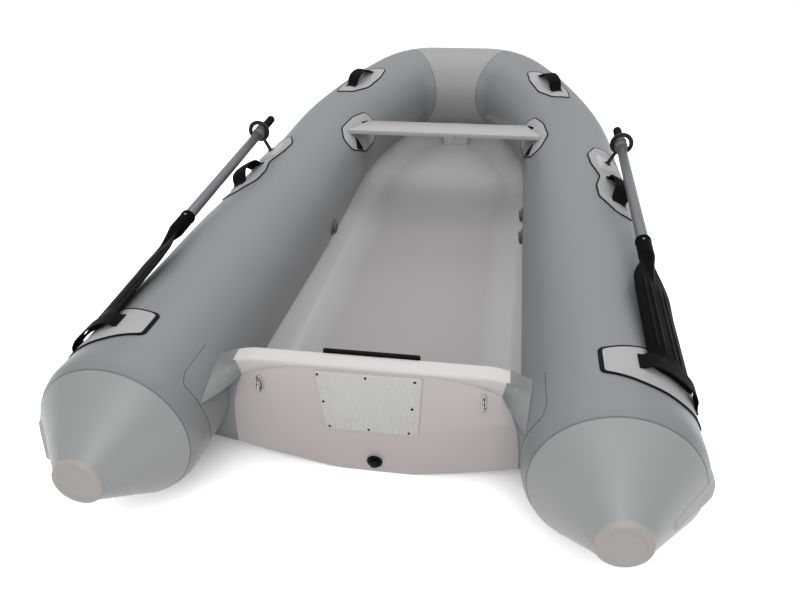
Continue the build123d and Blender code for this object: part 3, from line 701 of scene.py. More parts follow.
# ---------------------------------------------------------------------------------------------
# Transom.  Glass-reinforced panel between the tubes, its top leaning aft, with a gently curved
# foot.  It is finished in the same warm gelcoat as the deck.
RAKE = math.radians(7.8)
FOOT_Y = 0.4414                   # aft face where it would reach the keel's level
TRANSOM_T = 0.045
AFT = Vector((0, -math.cos(RAKE), -math.sin(RAKE)))
TRANSOM_HALF = [
    # to starboard, up, corner radius
    (0.110, 0.000, 0.40), (0.330, 0.050, 0.45), (0.510, 0.104, 0.004), (0.510, 0.290, 0.004),
    (0.402, 0.374, 0.004), (0.350, 0.402, 0.030),
]


def on_transom(x, z, proud=0.0):
    """Point on the transom's aft face, or so far aft of it."""
    return Vector((x, STERN + FOOT_Y - z * math.tan(RAKE), z)) + AFT * proud


def mirrored_outline(half):
    """Outline from its starboard corners."""
    return half + [(-x, z, r) for x, z, r in reversed(half)]


def slab(outline, back, front, bevel=0.0015, place=on_transom):
    """Plate of an outline between two depths, its edges rounded over."""
    count = len(outline)
    area = sum(outline[i - 1].cross(outline[i]) for i in range(count))
    insides = []
    for i in range(count):
        along = (outline[(i + 1) % count] - outline[i - 1]).normalized()
        insides.append(Vector((-along.y, along.x)) * (1 if area > 0 else -1))
    turn = bevel * 0.3
    edges = [(bevel, back), (turn, back + turn), (0, back + bevel), (0, front - bevel), (turn, front - turn),
             (bevel, front)]
    rings = []
    for inset, depth in edges:
        spots = [spot + inside * inset for spot, inside in zip(outline, insides)]
        rings.append([(place(at.x, at.y, depth), (at.x, at.y)) for at in spots])
    return bar(rings)


transom_gelcoat = finish("transom_gelcoat", (206, 197, 196), 0.34, cloud=0.025, cloud_size=3, grain=60,
                         depth=0.00012)
panel = slab(rounded(mirrored_outline(TRANSOM_HALF), 0.012), -TRANSOM_T, 0.0, 0.003)
piece_of("transom_panel", panel, "transom_gelcoat", transom_gelcoat, "transom")

# ---------------------------------------------------------------------------------------------
# Capping.  White moulded channel over the transom's top edge; its sides deepen towards the ends,
# where it runs into the tubes.
CAP_LIP = 0.0042
CAP_ROUND = 0.007
CAP_END = 0.370                   # bare this far; fabric covers it from here to the tube
CAP_REACH = 0.428                 # where that cover ends, inside the tube
CAP_WALL = 0.0052
CAP_LAP = 0.0002                  # play between its sides and the panel
CAP_TOP = [(0.0, 0.407), (0.325, 0.407), (0.372, 0.396), (0.402, 0.379), (0.430, 0.371)]
CAP_FOOT = [(0.0, 0.3985), (0.165, 0.3985), (0.200, 0.3950), (0.285, 0.3760), (0.345, 0.3540),
            (0.380, 0.3460), (0.430, 0.3390)]
cap_white = finish("cap_white", (212, 208, 206), 0.30, cloud=0.02, grain=80, depth=0.00008, soil=0.03)


def between(table, at):
    """Value between the rows of a table, straight from row to row."""
    return float(np.interp(at, [row[0] for row in table], [row[1] for row in table]))


def smooth_between(table, at, spread=0.018):
    """The same with its corners rounded."""
    return sum(between(table, at + spread * (k / 4)) for k in range(-4, 5)) / 9


def capping(start, end, rows, cover=0.0):
    """Stretch of the channel between two places to starboard, its skin raised by a cover."""
    rings = []
    for row in range(rows):
        x = start + (end - start) * row / (rows - 1)
        top = smooth_between(CAP_TOP, abs(x)) + cover
        foot = smooth_between(CAP_FOOT, abs(x)) - cover
        section = []
        for side, outer in ((1, CAP_LIP + cover), (-1, -TRANSOM_T - CAP_LIP - cover)):
            bend = [(outer - side * CAP_ROUND * (1 - math.cos(a)), top - CAP_ROUND * (1 - math.sin(a)))
                    for a in (0, 0.35, 0.8, 1.2, math.pi / 2)]
            low = [(outer - side * 0.0012, foot), (outer, foot + 0.0012)]
            section += low + bend if side > 0 else list(reversed(low + bend))
        roof, fore = top - CAP_WALL, -TRANSOM_T - CAP_LAP
        section += [(fore, foot), (fore, roof), (CAP_LAP, roof), (CAP_LAP, foot)]
        rings.append([(on_transom(x, z, depth), (x, depth + z)) for depth, z in section])
    return bar(rings)


piece_of("transom_capping", capping(-CAP_END, CAP_END, 90), "cap_white", cap_white, "transom_cap", sharp=50)

# ---------------------------------------------------------------------------------------------
# Motor pads.  Off-white plastic board on the aft face, moulded all over with small square studs
# that the clamp screws bite on; and a black plate on the forward face.
PAD_FOOT, PAD_TOP = (0.1290, 0.174), (0.1440, 0.388)        # half width, height
PAD_HALF = [(*PAD_FOOT, 0.006), (*PAD_TOP, 0.006)]
PAD_T = 0.0070
STUD_PITCH = 0.0090
STUD_SIZE = 0.0062
STUD_HEIGHT = 0.0010
STUD_MARGIN = (0.006, 0.017)      # plain board left along the port and starboard edges
STUD_FOOT, STUD_HEAD = 0.008, 0.006         # and along the foot and the top
pad_plastic = finish("pad_plastic", (212, 211, 205), 0.42, cloud=0.03, cloud_size=12, soil=0.06)
pad_outline = rounded(mirrored_outline(PAD_HALF), 0.004)
piece_of("motor_board", slab(pad_outline, -0.0005, PAD_T), "pad_plastic", pad_plastic, "motor_pad")


def growing_tree(name, **inputs):
    """Geometry Nodes tree with named inputs, and the sockets that carry them into it."""
    tree = bpy.data.node_groups.new(name, "GeometryNodeTree")
    sockets = [("INPUT", "Geometry", "Geometry")]
    sockets += [("INPUT", label.replace("_", " "), kind) for label, kind in inputs.items()]
    sockets += [("INPUT", "Material", "Material"), ("OUTPUT", "Geometry", "Geometry")]
    for end, label, kind in sockets:
        tree.interface.new_socket(name=label, in_out=end, socket_type=f"NodeSocket{kind}")
    return tree, tree.nodes.new("NodeGroupInput").outputs


def end_growing(tree, given, spots, shape, **facing):
    """Ends a tree: the shape at each of the spots, made real, with the material."""
    instances = add(tree, "GeometryNodeInstanceOnPoints", {"Points": spots, "Instance": shape, **facing})
    real = add(tree, "GeometryNodeRealizeInstances", [instances])
    coat = add(tree, "GeometryNodeSetMaterial", {"Geometry": real, "Material": given["Material"]})
    add(tree, "NodeGroupOutput", [coat], None)


def grown(name, body, slot, material, tree, places, values, placing=None):
    """Piece that a tree grows on loose points, with the values of its inputs."""
    start = bpy.data.meshes.new("spots")
    start.from_pydata([tuple(p) for p in places], [], [])
    holder = bpy.data.objects.new(name + "_growing", start)
    bpy.context.scene.collection.objects.link(holder)
    modifier = holder.modifiers.new("grow", "NODES")
    modifier.node_group = tree
    for label, value in {**values, "Material": material}.items():
        modifier[tree.interface.items_tree[label].identifier] = value
    bpy.context.view_layer.update()
    ready = holder.evaluated_get(bpy.context.evaluated_depsgraph_get())
    mesh = bpy.data.meshes.new_from_object(ready)
    mesh.name = name
    bpy.data.objects.remove(holder)
    if placing:
        mesh.transform(placing)
    finished_piece(name, mesh, 35, body, slot, material)


studs, given = growing_tree("studs", Size="Float", Height="Float", Turn="Vector")
stud_size = add(studs, "ShaderNodeCombineXYZ", [given["Size"], given["Size"], given["Height"]])
stud_turn = add(studs, "FunctionNodeEulerToRotation", [given["Turn"]])
stud = add(studs, "GeometryNodeMeshCube", [stud_size])
end_growing(studs, given, given["Geometry"], stud, Rotation=stud_turn)
stud_spots = []
z = PAD_FOOT[1] + STUD_FOOT
while z < PAD_TOP[1] - STUD_HEAD:
    half = between([PAD_FOOT[::-1], PAD_TOP[::-1]], z)
    columns = int((2 * half - sum(STUD_MARGIN)) / STUD_PITCH)
    for k in range(columns + 1):
        stud_spots.append(on_transom(-half + STUD_MARGIN[0] + k * STUD_PITCH, z, PAD_T))
    z += STUD_PITCH
lean = (math.pi / 2 - RAKE, 0, 0)
stud_values = {"Size": STUD_SIZE, "Height": 2 * STUD_HEIGHT, "Turn": lean}
grown("pad_studs", "boat", "pad_plastic", pad_plastic, studs, stud_spots, stud_values)

SCREWS = [
    # to starboard, up
    (-0.136, 0.377), (-0.006, 0.377), (0.124, 0.377), (-0.128, 0.279), (0.115, 0.279),
    (-0.119, 0.185), (-0.008, 0.185), (0.104, 0.185),
]
SCREW_R, SCREW_H = 0.0042, 0.0032
SCREW_TOP = 0.68                  # share of its radius left at the top of a head
screw_black = finish("screw_black", (20, 20, 22), 0.42, cloud=0.1, gloss=0.1)
heads, given = growing_tree("screw_heads", Radius="Float", Height="Float", Turn="Vector")
crown = {"Vertices": 20, "Radius Top": calculate(heads, "MULTIPLY", given["Radius"], SCREW_TOP),
         "Radius Bottom": given["Radius"], "Depth": given["Height"]}
head_turn = add(heads, "FunctionNodeEulerToRotation", [given["Turn"]])
end_growing(heads, given, given["Geometry"], add(heads, "GeometryNodeMeshCone", crown), Rotation=head_turn)
head_values = {"Radius": SCREW_R, "Height": SCREW_H, "Turn": lean}
screw_spots = [on_transom(x, z, PAD_T) for x, z in SCREWS]
grown("pad_screws", "boat", "black_plastic", screw_black, heads, screw_spots, head_values)

CLAMP_T = 0.0076
CLAMP_HALF = [(0.131, 0.225, 0.010), (0.131, 0.4148, 0.004)]
clamp_black = finish("clamp_black", (16, 16, 17), 0.5, cloud=0.1, cloud_size=20, gloss=0.08)
clamp_back = -TRANSOM_T - CAP_LIP - 0.0002
clamp = slab(rounded(mirrored_outline(CLAMP_HALF), 0.006), clamp_back - CLAMP_T, clamp_back)
piece_of("clamp_strip", clamp, "black_plastic", clamp_black, "clamp_plate")

# ---------------------------------------------------------------------------------------------
# Towing eyes.  A polished U-bolt on a slotted backing plate stands at each side of the transom,
# its legs through the panel, and one more stands on the bow shelf.
EYE_X, EYE_Z = 0.303, 0.318
EYE_SPAN = 0.038
EYE_ROD = 0.0040
EYE_REACH = 0.0195
polished = finish("polished_steel", (150, 150, 148), 0.2, cloud=0.02, metal=1.0, depth=0.0)


def pipe(line, radius, around=16):
    """Round bar along a line of points."""
    rings = []
    side = (line[1] - line[0]).normalized().orthogonal().normalized()
    gone = 0.0
    angles = [2 * math.pi * k / around for k in range(around)]
    for i, spot in enumerate(line):
        heading = (line[min(i + 1, len(line) - 1)] - line[max(i - 1, 0)]).normalized()
        side = (side - heading * side.dot(heading)).normalized()
        other = heading.cross(side)
        gone += (spot - line[max(i - 1, 0)]).length
        rings.append([(spot + (side * math.cos(a) + other * math.sin(a)) * radius, (gone, a * radius))
                      for a in angles])
    return bar(rings)


def u_bolt(place):
    """U-bolt with its plate; place turns (across, along, out) into a point."""
    leg = EYE_REACH - EYE_SPAN / 2 + 0.004
    bow = [(0, -EYE_SPAN / 2, 0), (0, -EYE_SPAN / 2, leg)]
    bow += [(0, -EYE_SPAN / 2 * math.cos(a), leg + (EYE_REACH - leg) * math.sin(a))
            for a in np.linspace(0, math.pi, 15)[1:-1]]
    bow += [(0, EYE_SPAN / 2, leg), (0, EYE_SPAN / 2, 0)]
    rod = pipe([place(*spot) for spot in bow], EYE_ROD)
    half = [(0.0080, -0.031, 0.0079), (0.0080, 0.031, 0.0079)]
    plate = slab(rounded(mirrored_outline(half), 0.002), 0.0, 0.003, 0.0008, place)
    nuts = []
    for end in (-1, 1):
        ring = [Vector((0.0068 * math.cos(a), 0.0068 * math.sin(a) + end * EYE_SPAN / 2))
                for a in np.linspace(0, 2 * math.pi, 25)[:-1]]
        nuts.append(slab(ring, 0.002, 0.0055, 0.0012, place))
    return joined(rod, plate, *nuts)


eyes = u_bolt(lambda across, along, out: on_transom(EYE_X + across, EYE_Z + along, out))
piece_of("towing_eyes", both_sides(eyes), "stainless", polished, "transom_eyes", sharp=30)
eye_low, eye_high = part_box("bow_eye")
SHELF_CLIMB = math.radians(20)
EYE_SINK = 0.0098                 # foot of the bolt below the middle of its node
shelf_up = Vector((0, -math.sin(SHELF_CLIMB), math.cos(SHELF_CLIMB)))
shelf_along = Vector((0, math.cos(SHELF_CLIMB), math.sin(SHELF_CLIMB)))
eye_foot = (Vector(eye_low) + Vector(eye_high)) / 2
eye_foot.x = 0
eye_foot -= shelf_up * EYE_SINK
steel_dark = finish("weathered_steel", (120, 116, 110), 0.3, cloud=0.2, cloud_size=60, metal=1.0)
bow_eye = u_bolt(lambda across, along, out: eye_foot + Vector((across, 0, 0)) + shelf_along * along
                 + shelf_up * out)
piece_of("bow_ring", bow_eye, "stainless", steel_dark, "bow_eye", sharp=30)

# ---------------------------------------------------------------------------------------------
# Drain.  Black moulded flange with a hexagonal plug screwed into it, low on the transom.
DRAIN_Z = 0.046
HEX_R = 0.0150
SLOT_HALF, SLOT_RISE = 0.0088, 0.0016
DRAIN_RINGS = [
    # radius, aft of the transom
    (0.0230, -0.0005), (0.0230, 0.0032), (0.0222, 0.0048), (0.0200, 0.0060), (0.0182, 0.0060),
    (0.0174, 0.0048), (0.0160, 0.0048),
]
drain_black = finish("drain_black", (14, 14, 15), 0.4, cloud=0.1, gloss=0.08)
hexagon = [(HEX_R * math.cos(a), DRAIN_Z + HEX_R * math.sin(a), 0.0012)
           for a in np.linspace(0, 2 * math.pi, 7)[:-1]]
cross_slot = [(x * SLOT_HALF, DRAIN_Z + z * SLOT_RISE, 0.0005)
              for x, z in ((1, -1), (1, 1), (-1, 1), (-1, -1))]
drain = joined(
    turned(on_transom(0, DRAIN_Z), AFT, DRAIN_RINGS),
    slab(rounded(hexagon, 0.002), 0.004, 0.0150, 0.0014),
    slab(rounded(cross_slot, 0.001), 0.0145, 0.0160, 0.0004),
)
piece_of("drain", drain, "black_plastic", drain_black, "drain_plug", sharp=28)

# ---------------------------------------------------------------------------------------------
# Joint fabric.  A flap of tube fabric is glued round the inside of each tube where the transom
# meets it, a gusset bridges from the capping's end to the tube, and a tape runs down the seam.
FLAP = (0.340, 165)
FLAP_T = 0.0011
FLAP_OUTLINE = [
    (0.082, -0.093, 0.004), (-0.060, -0.095, 0.04), (-0.094, -0.078, 0.014), (-0.087, 0.000, 0.20),
    (-0.070, 0.095, 0.20), (-0.055, 0.150, 0.02), (0.082, 0.150, 0.004),
]
TAPE_OUTLINE = [
    (0.3470, 0.354, 0.01), (0.3720, 0.301, 0.10), (0.3930, 0.229, 0.20), (0.4040, 0.151, 0.20),
    (0.4080, 0.076, 0.004), (0.5000, 0.098, 0.004), (0.4700, 0.151, 0.02), (0.4320, 0.229, 0.02),
    (0.4260, 0.301, 0.02), (0.4300, 0.352, 0.004),
]
GUSSET_T = 0.0016
GUSSET_SAG = 0.008
GUSSET_AT_CAP = [(0.358, 0.4010), (0.350, 0.3500)]          # its upper and lower corner
GUSSET_STEPS = 14
EDGE_W, EDGE_H = 0.0026, 0.0006
flap_grey = finish("flap_grey", (135, 140, 143), 0.42, cloud=0.03, grain=1400, depth=0.00003)
tape_grey = finish("tape_grey", (130, 134, 135), 0.45, cloud=0.03, grain=1400, depth=0.00003)
seam_dark = finish("seam_shadow", (62, 66, 68), 0.6, cloud=0.2, cloud_size=30)
flap_outline = rounded(FLAP_OUTLINE)
flap = both_sides(patch(FLAP, flap_outline, FLAP_T, bevel=0.0006))
piece_of("transom_flap_panels", flap, "tube_fabric", flap_grey, "transom_flaps")
turn_at = max(range(len(flap_outline)), key=lambda i: flap_outline[i].x - abs(flap_outline[i].y - 0.15) * 0.2)
open_edge = [p for p in flap_outline[turn_at:] + flap_outline[:turn_at] if p.x < 0.076]
flap_around = math.radians(FLAP[1]) * TUBE_R
flap_line = ribbon([(FLAP[0] + p.x, flap_around + p.y) for p in open_edge], EDGE_W, EDGE_H, EDGE_H / 2)
piece_of("flap_edges", both_sides(flap_line), "tube_fabric", seam_dark)
tape = both_sides(slab(rounded(TAPE_OUTLINE, 0.006), -0.0005, 0.0013, 0.0006))
piece_of("seam_tapes", tape, "tube_fabric", tape_grey)


def sheet(rows, thickness):
    """Closed shell of even thickness about a grid of points."""
    high, wide = len(rows), len(rows[0])
    points, places = [], []
    for hand in (1, -1):
        for i in range(high):
            for j in range(wide):
                along = rows[min(i + 1, high - 1)][j] - rows[max(i - 1, 0)][j]
                across = rows[i][min(j + 1, wide - 1)] - rows[i][max(j - 1, 0)]
                points.append(rows[i][j] + along.cross(across).normalized() * (hand * thickness / 2))
                places.append((i * along.length, j * across.length))
    count = high * wide
    faces = grid_faces(high, wide)
    faces += [tuple(count + k for k in reversed(face)) for face in faces]
    rim = list(range(wide)) + [i * wide + wide - 1 for i in range(1, high)]
    rim += [(high - 1) * wide + j for j in range(wide - 2, -1, -1)]
    rim += [i * wide for i in range(high - 2, 0, -1)]
    faces += [(a, b, count + b, count + a) for a, b in zip(rim, rim[1:] + rim[:1])]
    return points, faces, places


def gusset():
    """Web from the capping's covered end aft to the tube."""
    cap_top, cap_low = [on_transom(x, z, CAP_LIP + GUSSET_T) for x, z in GUSSET_AT_CAP]
    shares = [step / GUSSET_STEPS for step in range(GUSSET_STEPS + 1)]
    rows = []
    for u in shares:
        row = []
        for v in shares:
            on_tube = skin(0.388 - 0.136 * v, 154 + 9 * v, FLAP_T + 0.0004)
            sag = math.sin(math.pi * u) * GUSSET_SAG * v
            row.append(cap_top.lerp(cap_low, v).lerp(on_tube, u) + Vector((0, 0.5 * sag, -sag)))
        rows.append(row)
    return sheet(rows, GUSSET_T)


end_covers = both_sides(capping(CAP_END - 0.004, CAP_REACH, 20, 0.0012))
piece_of("cap_end_covers", end_covers, "tube_fabric", tape_grey, sharp=50)
piece_of("corner_gussets", both_sides(gusset()), "tube_fabric", tape_grey, sharp=60)

# ---------------------------------------------------------------------------------------------
# Bench.  A white moulded board lies across the tubes, its ends cut to their line; black webbing
# tabs, glued to the seat patches, hold it.
SEAT_TOP = 0.509
SEAT_T = 0.022
BENCH_OUTLINE = [(0.4710, 2.245, 0.006), (0.4000, 2.433, 0.006)]
bench_white = finish("bench_white", (184, 180, 181), 0.33, cloud=0.02, cloud_size=4, grain=90, depth=0.00008,
                     soil=0.05)


def on_bench(x, y, height):
    """Point a height above the bench's top."""
    return Vector((x, STERN + y, SEAT_TOP + height))


board = slab(rounded(mirrored_outline(BENCH_OUTLINE), 0.01), -SEAT_T, 0.0, 0.004, on_bench)
piece_of("bench_board", board, "bench_white", bench_white, "bench_seat")
TAB_T = 0.0040
TABS = [
    # on the seat patch: forward, round towards the inner side, corner radius
    [(-0.152, 0.026, 0.005), (-0.082, -0.012, 0.004), (-0.082, 0.062, 0.004)],
    [(0.178, 0.000, 0.005), (0.096, -0.028, 0.004), (0.096, 0.030, 0.004)],
]
tabs = [patch(SEAT_PATCH, rounded(outline, 0.004), TAB_T, PATCH_T) for outline in TABS]
piece_of("bench_tabs", both_sides(joined(*tabs)), "webbing", webbing_black, "seat_tabs")

# ---------------------------------------------------------------------------------------------
# Air valves.  Grey moulded bosses let into the inner side of the tubes, with a screw cap.
VALVES = [
    # side (1 starboard), distance along the collar
    (-1, 1.620), (1, 1.620), (1, 1.841),
]
VALVE_ANGLE = 188
VALVE_PROFILE = [
    # radius, out from the skin
    (0.0360, -0.0040), (0.0360, 0.0018), (0.0350, 0.0034), (0.0320, 0.0042), (0.0285, 0.0044),
    (0.0272, 0.0030), (0.0268, 0.0080), (0.0262, 0.0125), (0.0240, 0.0150), (0.0180, 0.0158),
    (0.0172, 0.0140), (0.0050, 0.0140),
]
valve_grey = finish("valve_grey", (72, 75, 78), 0.4, cloud=0.06, cloud_size=20)


def valve(distance):
    """Valve body and the two finger bars across its cap."""
    _, out, up = station(distance)
    a = math.radians(VALVE_ANGLE)
    normal = out * math.cos(a) + up * math.sin(a)
    foot = skin(distance, VALVE_ANGLE)
    along = up.cross(normal).normalized()
    over = normal.cross(along)
    bars = []
    for axis, cross in ((along, over), (over, along)):
        half = [(0.0030, -0.0175, 0.002), (0.0030, 0.0175, 0.002)]
        bars.append(slab(rounded(mirrored_outline(half), 0.002), 0.0130, 0.0165, 0.0008,
                         lambda x, y, h, a=axis, c=cross: foot + c * x + a * y + normal * h))
    return joined(turned(foot, normal, VALVE_PROFILE, 40), *bars)


fitted = [valve(distance) if hand > 0 else other_side(valve(distance)) for hand, distance in VALVES]
piece_of("air_valves", joined(*fitted), "valve_grey", valve_grey, "valves", sharp=35)

# ---------------------------------------------------------------------------------------------
# Oars.  Anodised tube with a black rubber hand grip, a grey ribbed collar that rides in the
# rowlock, and a black moulded blade with long grooves pushed over its end.
OAR_END = Vector((0.7800, STERN + 2.030, 0.6080))
OAR_AT_KEEPER = Vector((0.7480, STERN + 0.381, 0.4670))
SHAFT_LENGTH = 1.000
BLADE_LENGTH = 0.677
BLADE_HALF = 0.072
BLADE_CAMBER = 0.0110             # how far its edges fall towards the tube
TIP_R = 0.026
SOCKET_R = 0.024
SOCKET_LIP, LIP_LENGTH = 0.0012, 0.010
NECK = (0.100, 0.185)             # where the blade starts to widen, and over what length
SPINE = (0.105, 0.215)            # where its spine starts to sink into the plate, and over what length
DROOP = (0.10, 0.25)              # where its edges start to fall, and over what length
PLATE_HALF_T = 0.0030
RIBS_FROM, RIBS_TO = 0.235, 0.600
RIBS_AT = (-0.0405, -0.0175, 0.0175, 0.0405)
RIB_HALF, RIB_HEIGHT = 0.0048, 0.0022
shaft_dir = (OAR_AT_KEEPER - OAR_END).normalized()
keeper_angle = math.radians(KEEPER[1])
keeper_out = Vector((math.cos(keeper_angle), 0, math.sin(keeper_angle)))
blade_across = shaft_dir.cross(keeper_out).normalized()
blade_out = blade_across.cross(shaft_dir)
GRIP_PROFILE = [
    # radius, from the end of the grip
    (0.0040, 0.0000), (0.0110, 0.0006), (0.0150, 0.0030), (0.0172, 0.0080), (0.0175, 0.0120),
    (0.0170, 0.0160), (0.0165, 0.0200), (0.0165, 0.1080), (0.0172, 0.1150), (0.0175, 0.1260),
    (0.0168, 0.1296), (0.0150, 0.1300),
]
SHAFT_PROFILE = [(0.0140, 0.1296), (0.0186, 0.1300), (0.0190, 0.1306), (0.0190, 1.0056), (0.0150, 1.0059)]
COLLAR_PROFILE = [
    (0.0188, 0.1450), (0.0250, 0.1452), (0.0260, 0.1466), (0.0260, 0.1560), (0.0238, 0.1580),
    (0.0238, 0.1900), (0.0258, 0.1930), (0.0260, 0.1960), (0.0260, 0.2050), (0.0235, 0.2080),
    (0.0222, 0.2236), (0.0188, 0.2250),
]
grip_black = finish("grip_rubber", (15, 15, 16), 0.6, cloud=0.12, cloud_size=30, grain=900, depth=0.0001,
                    gloss=0.06)
collar_grey = finish("collar_grey", (92, 93, 96), 0.45, cloud=0.06, cloud_size=20)
blade_black = finish("blade_plastic", (12, 13, 15), 0.45, cloud=0.08, cloud_size=7, grain=300, depth=0.00006,
                     soil=0.0, gloss=0.01)


def brushed_alloy():
    """Satin anodised tube with fine drawn lines along it."""
    material = bpy.data.materials.new("anodised_tube")
    material.use_nodes = True
    tree = material.node_tree
    shader = tree.nodes["Principled BSDF"]
    shader.inputs["Metallic"].default_value = 0.75
    flat = add(tree, "ShaderNodeUVMap", uv_map="surface")
    stretched = add(tree, "ShaderNodeMapping", {"Vector": flat, "Scale": (6, 900, 1)})
    lines = add(tree, "ShaderNodeTexNoise", {"Vector": stretched, "Scale": 1, "Detail": 3})
    sheen = add(tree, "ShaderNodeMapRange", {"Value": lines, "To Min": 0.26, "To Max": 0.42})
    tree.links.new(sheen, shader.inputs["Roughness"])
    tint = mixed(tree, lines, colour(106, 110, 114), colour(128, 132, 135))
    tree.links.new(tint, shader.inputs["Base Color"])
    return material


def ramp(at, start, length):
    """Climbs from 0 to 1 over a length."""
    return min(1.0, max(0.0, (at - start) / length))


def blade_half_width(s):
    """Half width of the blade, a distance from the mouth of its socket."""
    if s > BLADE_LENGTH - TIP_R:
        past = min(s - (BLADE_LENGTH - TIP_R), TIP_R)
        return BLADE_HALF - TIP_R + math.sqrt(TIP_R**2 - past**2)
    t = ramp(s, *NECK)
    return SOCKET_R + (BLADE_HALF - SOCKET_R) * t * t * (3 - 2 * t) + (SOCKET_LIP if s < LIP_LENGTH else 0)


def blade_height(s, x):
    """Half thickness of the blade at a place on it: plate, socket, spine and long ribs."""
    inside = max(0.0, 1 - (abs(x) / blade_half_width(s)) ** 10) ** 0.5
    sunk = ramp(s, *SPINE)
    radius = SOCKET_R * (1 - sunk) ** 1.3 + (SOCKET_LIP if s < LIP_LENGTH else 0)
    spine = math.sqrt(max(0.0, radius**2 - x**2)) * (0.55 + 0.45 * (1 - sunk))
    ends = ramp(s, RIBS_FROM, 0.05) * ramp(RIBS_TO - s, 0, 0.025)
    ribs = max(math.exp(-(((x - at) / RIB_HALF) ** 4)) for at in RIBS_AT)
    return max(PLATE_HALF_T * inside, spine) + RIB_HEIGHT * ends * ribs * inside


def oar_blade():
    """The blade to starboard, socket first."""
    stops = list(np.linspace(0, 0.012, 5)) + list(np.linspace(0.016, BLADE_LENGTH - TIP_R, 96))
    stops += [BLADE_LENGTH - TIP_R + TIP_R * math.sin(a) for a in np.linspace(0.15, math.pi / 2, 10)]
    columns = 84
    rings = []
    for s in stops:
        ring = []
        for hand in (1, -1):
            for k in range(columns):
                x = blade_half_width(s) * math.sin(math.pi * (k / columns - 0.5)) * hand
                fall = BLADE_CAMBER * (x / BLADE_HALF) ** 2 * ramp(s, *DROOP)
                height = blade_height(s, x) * hand - fall
                spot = OAR_END + shaft_dir * (SHAFT_LENGTH + s) + blade_across * x + blade_out * height
                ring.append((spot, (s, x)))
        rings.append(ring)
    return bar(rings)


anodised = brushed_alloy()
bead_row, given = growing_tree(
    "bead_row", Count="Int", Spacing="Float", Ring_Radius="Float", Bead_Radius="Float")
gap = add(bead_row, "ShaderNodeCombineXYZ", {"Z": given["Spacing"]})
row_line = add(bead_row, "GeometryNodeMeshLine", {"Count": given["Count"], "Offset": gap})
ring = {"Radius": given["Ring Radius"], "Resolution": 40}
bead = {"Radius": given["Bead Radius"], "Resolution": 8}
ring, bead = [add(bead_row, "GeometryNodeCurvePrimitiveCircle", inputs) for inputs in (ring, bead)]
hoop = add(bead_row, "GeometryNodeCurveToMesh", {"Curve": ring, "Profile Curve": bead})
end_growing(bead_row, given, row_line, hoop)
oar_frame = Matrix((blade_across, shaft_dir.cross(blade_across), shaft_dir)).transposed().to_4x4()
oar_frame.translation = OAR_END
PORT = Matrix.Scale(-1, 4, (1, 0, 0))
RIVET_PROFILE = [(0.0042, 0), (0.0040, 0.0012), (0.0030, 0.0021), (0.0012, 0.0025)]
RIB_ROWS = [
    # name, first, count, spacing, ring radius, bead radius, slot, finish
    ("grip_ribs", 0.024, 11, 0.0080, 0.0152, 0.0022, "black_plastic", grip_black),
    ("collar_ribs", 0.1625, 5, 0.0058, 0.0232, 0.0020, "collar_grey", collar_grey),
]
for side, mirror_it in (("starboard", False), ("port", True)):
    body = f"oar_{side}"
    turn_over = other_side if mirror_it else (lambda shape: shape)
    made = [
        # name, shape, slot, finish, node it stands for
        ("grip", turned(OAR_END, shaft_dir, GRIP_PROFILE), "black_plastic", grip_black, "oar_grip"),
        ("shaft", turned(OAR_END, shaft_dir, SHAFT_PROFILE), "oar_alloy", anodised, "oar_shaft"),
        ("collar", turned(OAR_END, shaft_dir, COLLAR_PROFILE), "collar_grey", collar_grey, "oar_collar"),
        ("blade", oar_blade(), "black_plastic", blade_black, "oar_blade"),
    ]
    for name, shape, slot, look, node in made:
        piece_of(f"{name}_{side}", turn_over(shape), slot, look, f"{node}_{side}", sharp=50, body=body)
    for name, first, count, spacing, ring_r, bead_r, slot, look in RIB_ROWS:
        place = oar_frame @ Matrix.Translation((0, 0, first))
        values = {"Count": count, "Spacing": spacing, "Ring Radius": ring_r, "Bead Radius": bead_r}
        placing = PORT @ place if mirror_it else place
        grown(f"{name}_{side}", body, slot, look, bead_row, [(0, 0, 0)], values, placing)
    rivet_out = (blade_across * 0.75 + blade_out * 0.66).normalized()
    rivet_foot = OAR_END + shaft_dir * (SHAFT_LENGTH + 0.026) + rivet_out * (SOCKET_R - 0.0006)
    rivet = turned(rivet_foot, rivet_out, RIVET_PROFILE, 20)
    piece_of(f"rivet_{side}", turn_over(rivet), "stainless", polished, body=body)

# ---------------------------------------------------------------------------------------------
# Rowlocks.  A grey plastic ring on a pin, standing in a pale moulded block on the mid patch.
RING_FROM_END = 0.180
RING_R = 0.0385
RING_ROD = 0.0088
RING_OFF = 0.0070                 # its centre above the oar's axis
BASE_OUTLINE = [(x * 0.072, y * 0.042, 0.012) for x, y in ((-1, -1), (1, -1), (1, 1), (-1, 1))]
BASE_T = 0.0098
RIDGE_T = 0.0012
PIN_PROFILE = [(0.0150, 0.0), (0.0150, 0.0030), (0.0110, 0.0055), (0.0085, 0.0090), (0.0080, 0.0200)]
rowlock_grey = finish("rowlock_grey", (40, 41, 42), 0.45, cloud=0.08, cloud_size=20, gloss=0.15)
base_pale = finish("rowlock_base", (203, 199, 198), 0.42, cloud=0.04, cloud_size=12)
at_ring = OAR_END + shaft_dir * RING_FROM_END
abreast = min((d / 1000 for d in range(1500, 2300)), key=lambda d: (station(d)[0] - at_ring).length)
below, ring_out, ring_up = station(abreast)
pin_dir = (at_ring - below).normalized()
pin_angle = math.degrees(math.atan2(pin_dir.dot(ring_up), pin_dir.dot(ring_out)))
ring_centre = at_ring + pin_dir * RING_OFF
ring_side = pin_dir.cross(shaft_dir).normalized()
ring_top = shaft_dir.cross(ring_side)
ring_path = [ring_centre + (ring_side * math.cos(a) + ring_top * math.sin(a)) * RING_R
             for a in np.linspace(0, 2 * math.pi, 61)]
base_at = (abreast, pin_angle)
